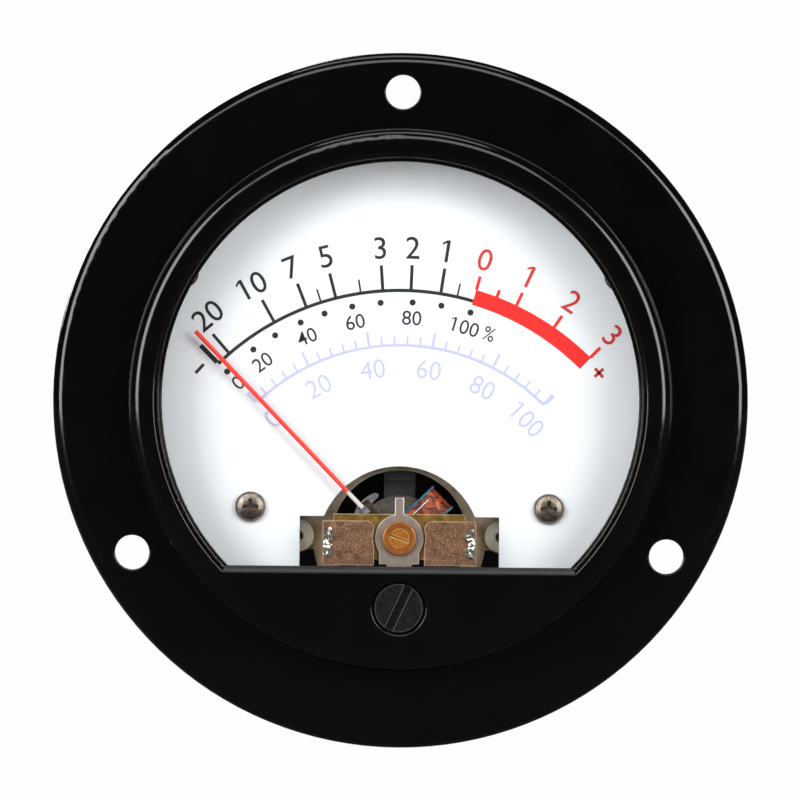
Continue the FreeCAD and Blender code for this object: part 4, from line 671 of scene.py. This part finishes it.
def addRootPlate():
    # Box-shaped rows swept round the movement's axis, then closed and rounded
    work = bmesh.new()
    rows = []
    middle = (rootPlate["insideMm"] + rootPlate["outsideMm"]) / 2
    front, rear = rootPlate["frontMm"], rootPlate["rearMm"]
    for n in range(rootPlate["steps"] + 1):
        a, half = platePlace(n / rootPlate["steps"])
        low, high = middle - half, middle + half
        rows.append([work.verts.new((math.sin(a) * r * mm, y * mm, math.cos(a) * r * mm))
                     for r, y in ((low, front), (high, front), (high, rear), (low, rear))])
    for first, second in zip(rows, rows[1:]):
        for k in range(4):
            work.faces.new([first[k], first[(k + 1) % 4], second[(k + 1) % 4], second[k]])
    work.faces.new(rows[0][::-1])
    work.faces.new(rows[-1])
    bmesh.ops.recalc_face_normals(work, faces=work.faces)
    sharp = [e for e in work.edges if e.calc_face_angle(0) > rootPlate["sharpRadians"]]
    bmesh.ops.bevel(work, geom=sharp, offset=rootPlate["edgeMm"] * mm, segments=2, affect="EDGES")
    mesh = bpy.data.meshes.new("rootPlate")
    work.to_mesh(mesh)
    work.free()
    mesh.materials.append(materials["steel"])
    item = bpy.data.objects.new("rootPlate", mesh)
    scene.collection.objects.link(item)
    turnToRest(item)
    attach(item, "moving_coil")


addSolder()
addRootPlate()
print("stage: solder and root plate")


# Printed scales on the dial, in millimetres from the meter's middle, with angles from straight up
dialPrint = {
    "arcCentreMm": (0.0, -17.28),
    "faceMm": -0.02,
    "bandStep": 1.0,
    "dotSides": 20,
    "letterSteps": 5,
    "flagStroke": 0.1,
    "flagRoot": 1.3,
    "flagReach": 0.2,
    "flagDrop": 0.75,
    "liftMm": {"lavenderPrint": 0.0, "blackPrint": 0.006, "redPrint": 0.009, "digitPrint": 0.012},
}
arcCentre = Vector(dialPrint["arcCentreMm"])


class Ink:
    # Flat faces of one colour of print, gathered before they become a mesh
    def __init__(self):
        self.points = []
        self.faces = []

    def addFace(self, corners):
        first = len(self.points)
        self.points += [Vector(c) for c in corners]
        self.faces.append(list(range(first, first + len(corners))))


def polar(angle, radius):
    # Point of the dial at an angle and a radius of the scales
    a = math.radians(angle)
    return arcCentre + Vector((math.sin(a), math.cos(a))) * radius


def addBand(ink, start, end, inner, outer):
    # Strip along the arc
    count = max(1, math.ceil(abs(end - start) / dialPrint["bandStep"]))
    for n in range(count):
        a = start + (end - start) * n / count
        b = start + (end - start) * (n + 1) / count
        ink.addFace([polar(a, inner), polar(b, inner), polar(b, outer), polar(a, outer)])


def addTick(ink, angle, inner, outer, width):
    # Bar that points away from the arc's centre
    a = math.radians(angle)
    across = Vector((math.cos(a), -math.sin(a))) * width / 2
    low, high = polar(angle, inner), polar(angle, outer)
    ink.addFace([low - across, low + across, high + across, high - across])


def addDash(ink, angle, radius, length, width):
    # Bar that lies along the arc
    a = math.radians(angle)
    along = Vector((math.cos(a), -math.sin(a))) * length / 2
    across = Vector((math.sin(a), math.cos(a))) * width / 2
    middle = polar(angle, radius)
    ink.addFace([middle - along - across, middle + along - across, middle + along + across,
                 middle - along + across])


def addDot(ink, angle, radius, size):
    middle, sides = polar(angle, radius), dialPrint["dotSides"]
    ink.addFace([middle + Vector((math.cos(t), math.sin(t))) * size
                 for t in (math.tau * n / sides for n in range(sides))])


def letterMesh(words, weight):
    # Flat mesh of the words, thickened by the weight
    curve = bpy.data.curves.new("type", "FONT")
    curve.body = words
    curve.align_x = "CENTER"
    curve.offset = weight
    curve.resolution_u = dialPrint["letterSteps"]
    holder = bpy.data.objects.new("type", curve)
    scene.collection.objects.link(holder)
    bpy.context.view_layer.update()
    flat = bpy.data.meshes.new_from_object(holder.evaluated_get(bpy.context.evaluated_depsgraph_get()))
    bpy.data.objects.remove(holder)
    return flat


def addWords(ink, words, angle, radius, height, squeeze=1.0, weight=0.002):
    # Figures that stand on the arc, centred on their own outline
    flat = letterMesh(words, weight)
    xs = [v.co.x for v in flat.vertices]
    ys = [v.co.y for v in flat.vertices]
    scale = height / (max(ys) - min(ys))
    middleX, middleY = (max(xs) + min(xs)) / 2, (max(ys) + min(ys)) / 2
    a = math.radians(angle)
    right = Vector((math.cos(a), -math.sin(a)))
    up = Vector((math.sin(a), math.cos(a)))
    spot = polar(angle, radius)
    first = len(ink.points)
    for v in flat.vertices:
        across = (v.co.x - middleX) * scale * squeeze
        ink.points.append(spot + right * across + up * (v.co.y - middleY) * scale)
    for face in flat.polygons:
        ink.faces.append([first + n for n in face.vertices])
    bpy.data.meshes.remove(flat)
    if words.startswith("1"):
        # Flag of the figure one
        left = spot + right * (min(xs) - middleX) * scale * squeeze + up * height / 2
        stroke, reach = height * dialPrint["flagStroke"], height * dialPrint["flagReach"]
        tip = left - right * reach - up * reach * dialPrint["flagDrop"]
        ink.addFace([left, left - up * stroke * dialPrint["flagRoot"], tip - up * stroke, tip])


def finishInk(name, ink, material):
    # The gathered faces as one mesh, just in front of the dial's face, each ink over the one before
    mesh = bpy.data.meshes.new(name)
    y = (dialPrint["faceMm"] - dialPrint["liftMm"][name]) * mm
    mesh.from_pydata([(p.x * mm, y, p.y * mm) for p in ink.points], [], ink.faces)
    work = bmesh.new()
    work.from_mesh(mesh)
    for face in work.faces:
        if face.normal.y > 0:
            face.normal_flip()
    work.to_mesh(mesh)
    work.free()
    mesh.materials.append(material)
    item = bpy.data.objects.new(name, mesh)
    scene.collection.objects.link(item)
    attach(item, "meter")


# Upper scale: radii and sizes in millimetres, and each figure by the degrees that it stands at
levels = {
    "mainRadius": 29.75,
    "mainThick": 0.4,
    "start": -44.6,
    "zero": 16.0,
    "end": 44.4,
    "redInner": 29.5,
    "redOuter": 31.3,
    "majorReach": 32.9,
    "minorReach": 31.55,
    "majorWidth": 0.37,
    "minorWidth": 0.21,
    "digitRadius": 34.9,
    "digitHeight": 2.55,
    "majors": {-41.3: "20", -29.2: "10", -21.4: "7", -14.6: "5", -4.1: "3", 2.1: "2", 8.7: "1"},
    "minors": (-18.0, -9.0, 12.4),
    "redMajors": {16.0: "0", 25.1: "1", 34.3: "2", 44.3: "3"},
    "redMinor": 20.6,
    "redMinorExtra": 0.6,
    "lowestFigureTurn": -39.7,
    "startWidthShare": 1.5,
    "minusAt": (-48.2, 31.1),
    "plusAt": (47.9, 30.8),
    "signLength": 1.4,
    "minusWidth": 0.36,
    "plusWidth": 0.35,
}


def printLevelScale(black, red, digitRed):
    lineTop = levels["mainRadius"] + levels["mainThick"]
    addBand(black, levels["start"], levels["zero"], levels["mainRadius"], lineTop)
    addBand(red, levels["zero"], levels["end"], levels["redInner"], levels["redOuter"])
    for angle, words in levels["majors"].items():
        addTick(black, angle, lineTop, levels["majorReach"], levels["majorWidth"])
        labelAngle = levels["lowestFigureTurn"] if words == "20" else angle
        addWords(black, words, labelAngle, levels["digitRadius"], levels["digitHeight"])
    addTick(black, levels["start"], lineTop, levels["majorReach"],
            levels["majorWidth"] * levels["startWidthShare"])
    for angle in levels["minors"]:
        addTick(black, angle, lineTop, levels["minorReach"], levels["minorWidth"])
    for angle, words in levels["redMajors"].items():
        addTick(red, angle, levels["redOuter"], levels["majorReach"], levels["majorWidth"])
        addWords(digitRed, words, angle, levels["digitRadius"], levels["digitHeight"])
    addTick(red, levels["redMinor"], levels["redOuter"], levels["minorReach"] + levels["redMinorExtra"],
            levels["majorWidth"])
    length, (angle, radius) = levels["signLength"], levels["plusAt"]
    addDash(black, *levels["minusAt"], length, levels["minusWidth"])
    addTick(digitRed, angle, radius - length / 2, radius + length / 2, levels["plusWidth"])
    addDash(digitRed, angle, radius, length, levels["plusWidth"])


# Middle scale of dots, in per cent: an angle without a figure has a dot alone
percent = {
    "marks": {-44.4: "0", -36.5: "20", -30.5: "", -23.9: "40", -18.0: "", -11.4: "60", -4.8: "",
              2.6: "80", 9.3: "", 16.2: "100"},
    "dotRadius": 28.6,
    "dotSize": 0.36,
    "digitRadius": 26.8,
    "digitHeight": 1.66,
    "signAt": (22.1, 27.0),
    "signSqueeze": 0.88,
}


def printPercentScale(black):
    for angle, words in percent["marks"].items():
        addDot(black, angle, percent["dotRadius"], percent["dotSize"])
        if words:
            addWords(black, words, angle, percent["digitRadius"], percent["digitHeight"])
    addWords(black, "%", *percent["signAt"], percent["digitHeight"], squeeze=percent["signSqueeze"])


# Lower scale, pale and evenly divided from nothing to a hundred
even = {
    "start": -44.4,
    "end": 44.4,
    "lineInner": 23.45,
    "lineOuter": 23.8,
    "parts": 25,
    "partsPerFigure": 5,
    "unitsPerPart": 4,
    "minorReach": 24.7,
    "minorWidth": 0.25,
    "majorReach": 25.4,
    "majorWidth": 0.32,
    "endReach": 25.2,
    "endWidth": 0.5,
    "digitRadius": 21.05,
    "digitHeight": 2.2,
    "digitSqueeze": 0.95,
}


def printLinearScale(lavender):
    addBand(lavender, even["start"], even["end"], even["lineInner"], even["lineOuter"])
    for n in range(even["parts"] + 1):
        angle = even["start"] + (even["end"] - even["start"]) * n / even["parts"]
        kind = "minor" if n % even["partsPerFigure"] else "major"
        if n in (0, even["parts"]):
            kind = "end"
        addTick(lavender, angle, even["lineOuter"], even[kind + "Reach"], even[kind + "Width"])
        if kind != "minor":
            addWords(lavender, str(n * even["unitsPerPart"]), angle, even["digitRadius"],
                     even["digitHeight"], squeeze=even["digitSqueeze"], weight=0.0)


blackInk, redInk, digitInk, lavenderInk = Ink(), Ink(), Ink(), Ink()
printLevelScale(blackInk, redInk, digitInk)
printPercentScale(blackInk)
printLinearScale(lavenderInk)
finishInk("lavenderPrint", lavenderInk, inks["lavender"])
finishInk("blackPrint", blackInk, inks["black"])
finishInk("redPrint", redInk, inks["red"])
finishInk("digitPrint", digitInk, inks["digitRed"])
print("stage: dial print")


# Floor, backdrop light and studio lamps, with places in metres and powers in watts
studio = {
    "floorReach": 2.0,
    "floorHeight": -0.0403,
    "paper": ("D8D8D8", "DEDEDE"),
    "paperPatchMm": 30.0,
    "seenWhite": 0.99,
    "floorInMirrors": 0.1,
    "fill": 0.035,
    "fillBlueShare": 1.03,
}
# Each lamp: place, aim, width, height and power
lamps = {
    "leftSoftbox": ((-0.62, -0.7, 0.1), (0, 0, 0), 0.45, 1.0, 14.0),
    "rightSoftbox": ((0.62, -0.7, 0.04), (0, 0, 0), 0.45, 1.0, 13.5),
    "topSoftbox": ((0.0, -0.85, 0.6), (0, 0, 0), 0.8, 0.4, 4.6),
    "overheadStrip": ((0.0, -0.04, 0.9), (0, -0.04, 0), 0.6, 0.3, 1.8),
    "rearSoftbox": ((-0.5, 0.8, 0.45), (0, 0.03, 0), 0.8, 0.6, 12.0),
}
plainWhite = (1, 1, 1, 1)


def addFloor():
    # Pale paper under the meter: plain white to the camera, and dim in polished faces
    mesh = bpy.data.meshes.new("paleFloor")
    reach, low = studio["floorReach"], studio["floorHeight"]
    corners = [(-reach, -reach, low), (reach, -reach, low), (reach, reach, low), (-reach, reach, low)]
    mesh.from_pydata(corners, [], [(0, 1, 2, 3)])
    material, tree, output = newMaterial("palePaper")
    rays = addNode(tree, "ShaderNodeLightPath").outputs
    tone = noiseAt(tree, studio["paperPatchMm"], 3.0).outputs["Fac"]
    paper = addNode(tree, "ShaderNodeBsdfDiffuse", {
        "Color": blendColours(tree, tone, *map(linear, studio["paper"]))})
    white = addNode(tree, "ShaderNodeEmission", {"Color": plainWhite, "Strength": studio["seenWhite"]})
    dim = addNode(tree, "ShaderNodeEmission", {"Color": plainWhite, "Strength": studio["floorInMirrors"]})
    mirrored = addNode(tree, "ShaderNodeMixShader", {
        0: rays["Is Glossy Ray"], 1: paper.outputs[0], 2: dim.outputs[0]})
    mix = addNode(tree, "ShaderNodeMixShader", {
        0: rays["Is Camera Ray"], 1: mirrored.outputs[0], 2: white.outputs[0]})
    tree.links.new(mix.outputs[0], output.inputs["Surface"])
    mesh.materials.append(material)
    item = bpy.data.objects.new("paleFloor", mesh)
    scene.collection.objects.link(item)


def setWorld():
    # White backdrop to the camera, and a weak grey fill for everything else
    world = bpy.data.worlds.new("studio")
    world.use_nodes = True
    tree = world.node_tree
    tree.nodes.clear()
    seen = addNode(tree, "ShaderNodeLightPath").outputs["Is Camera Ray"]
    fill = studio["fill"]
    grey = (fill, fill, fill * studio["fillBlueShare"], 1)
    dim = addNode(tree, "ShaderNodeBackground", {"Color": grey, "Strength": 1.0})
    white = addNode(tree, "ShaderNodeBackground", {"Color": plainWhite, "Strength": studio["seenWhite"]})
    mix = addNode(tree, "ShaderNodeMixShader", {0: seen, 1: dim.outputs[0], 2: white.outputs[0]})
    output = addNode(tree, "ShaderNodeOutputWorld")
    tree.links.new(mix.outputs[0], output.inputs["Surface"])
    scene.world = world


def addLamp(name, place, aim, width, height, power):
    # White rectangular lamp turned to what it lights
    data = bpy.data.lights.new(name, "AREA")
    data.shape = "RECTANGLE"
    data.size, data.size_y = width, height
    data.energy = power
    lamp = bpy.data.objects.new(name, data)
    lamp.location = place
    lamp.rotation_euler = (Vector(aim) - Vector(place)).to_track_quat("-Z", "Y").to_euler()
    scene.collection.objects.link(lamp)


addFloor()
setWorld()
for lampName, plan in lamps.items():
    addLamp(lampName, *plan)
print("stage: lights")

# Camera: long lens, straight on, with distances in metres and shifts in millimetres
cameraPlan = {
    "distance": 1.4,
    "sensorMm": 36,
    "millimetresAcross": 92.03,
    "plane": -0.003,
    "shiftRight": -0.0575,
    "shiftUp": 0.035,
    "roll": 0.5,
    "farthest": 20,
}


def addCamera():
    # The lens gives the photograph's width at the flange's front face
    data = bpy.data.cameras.new("camera")
    data.sensor_width = cameraPlan["sensorMm"]
    data.lens = cameraPlan["sensorMm"] * cameraPlan["distance"] / (cameraPlan["millimetresAcross"] * mm)
    data.clip_end = cameraPlan["farthest"]
    camera = bpy.data.objects.new("camera", data)
    y = cameraPlan["plane"] - cameraPlan["distance"]
    camera.location = (cameraPlan["shiftRight"] * mm, y, cameraPlan["shiftUp"] * mm)
    roll = Matrix.Rotation(math.radians(cameraPlan["roll"]), 4, "Z")
    camera.rotation_euler = (Matrix.Rotation(math.pi / 2, 4, "X") @ roll).to_euler()
    scene.collection.objects.link(camera)
    scene.camera = camera


addCamera()
scene.view_settings.view_transform = "Standard"
print("stage: camera")
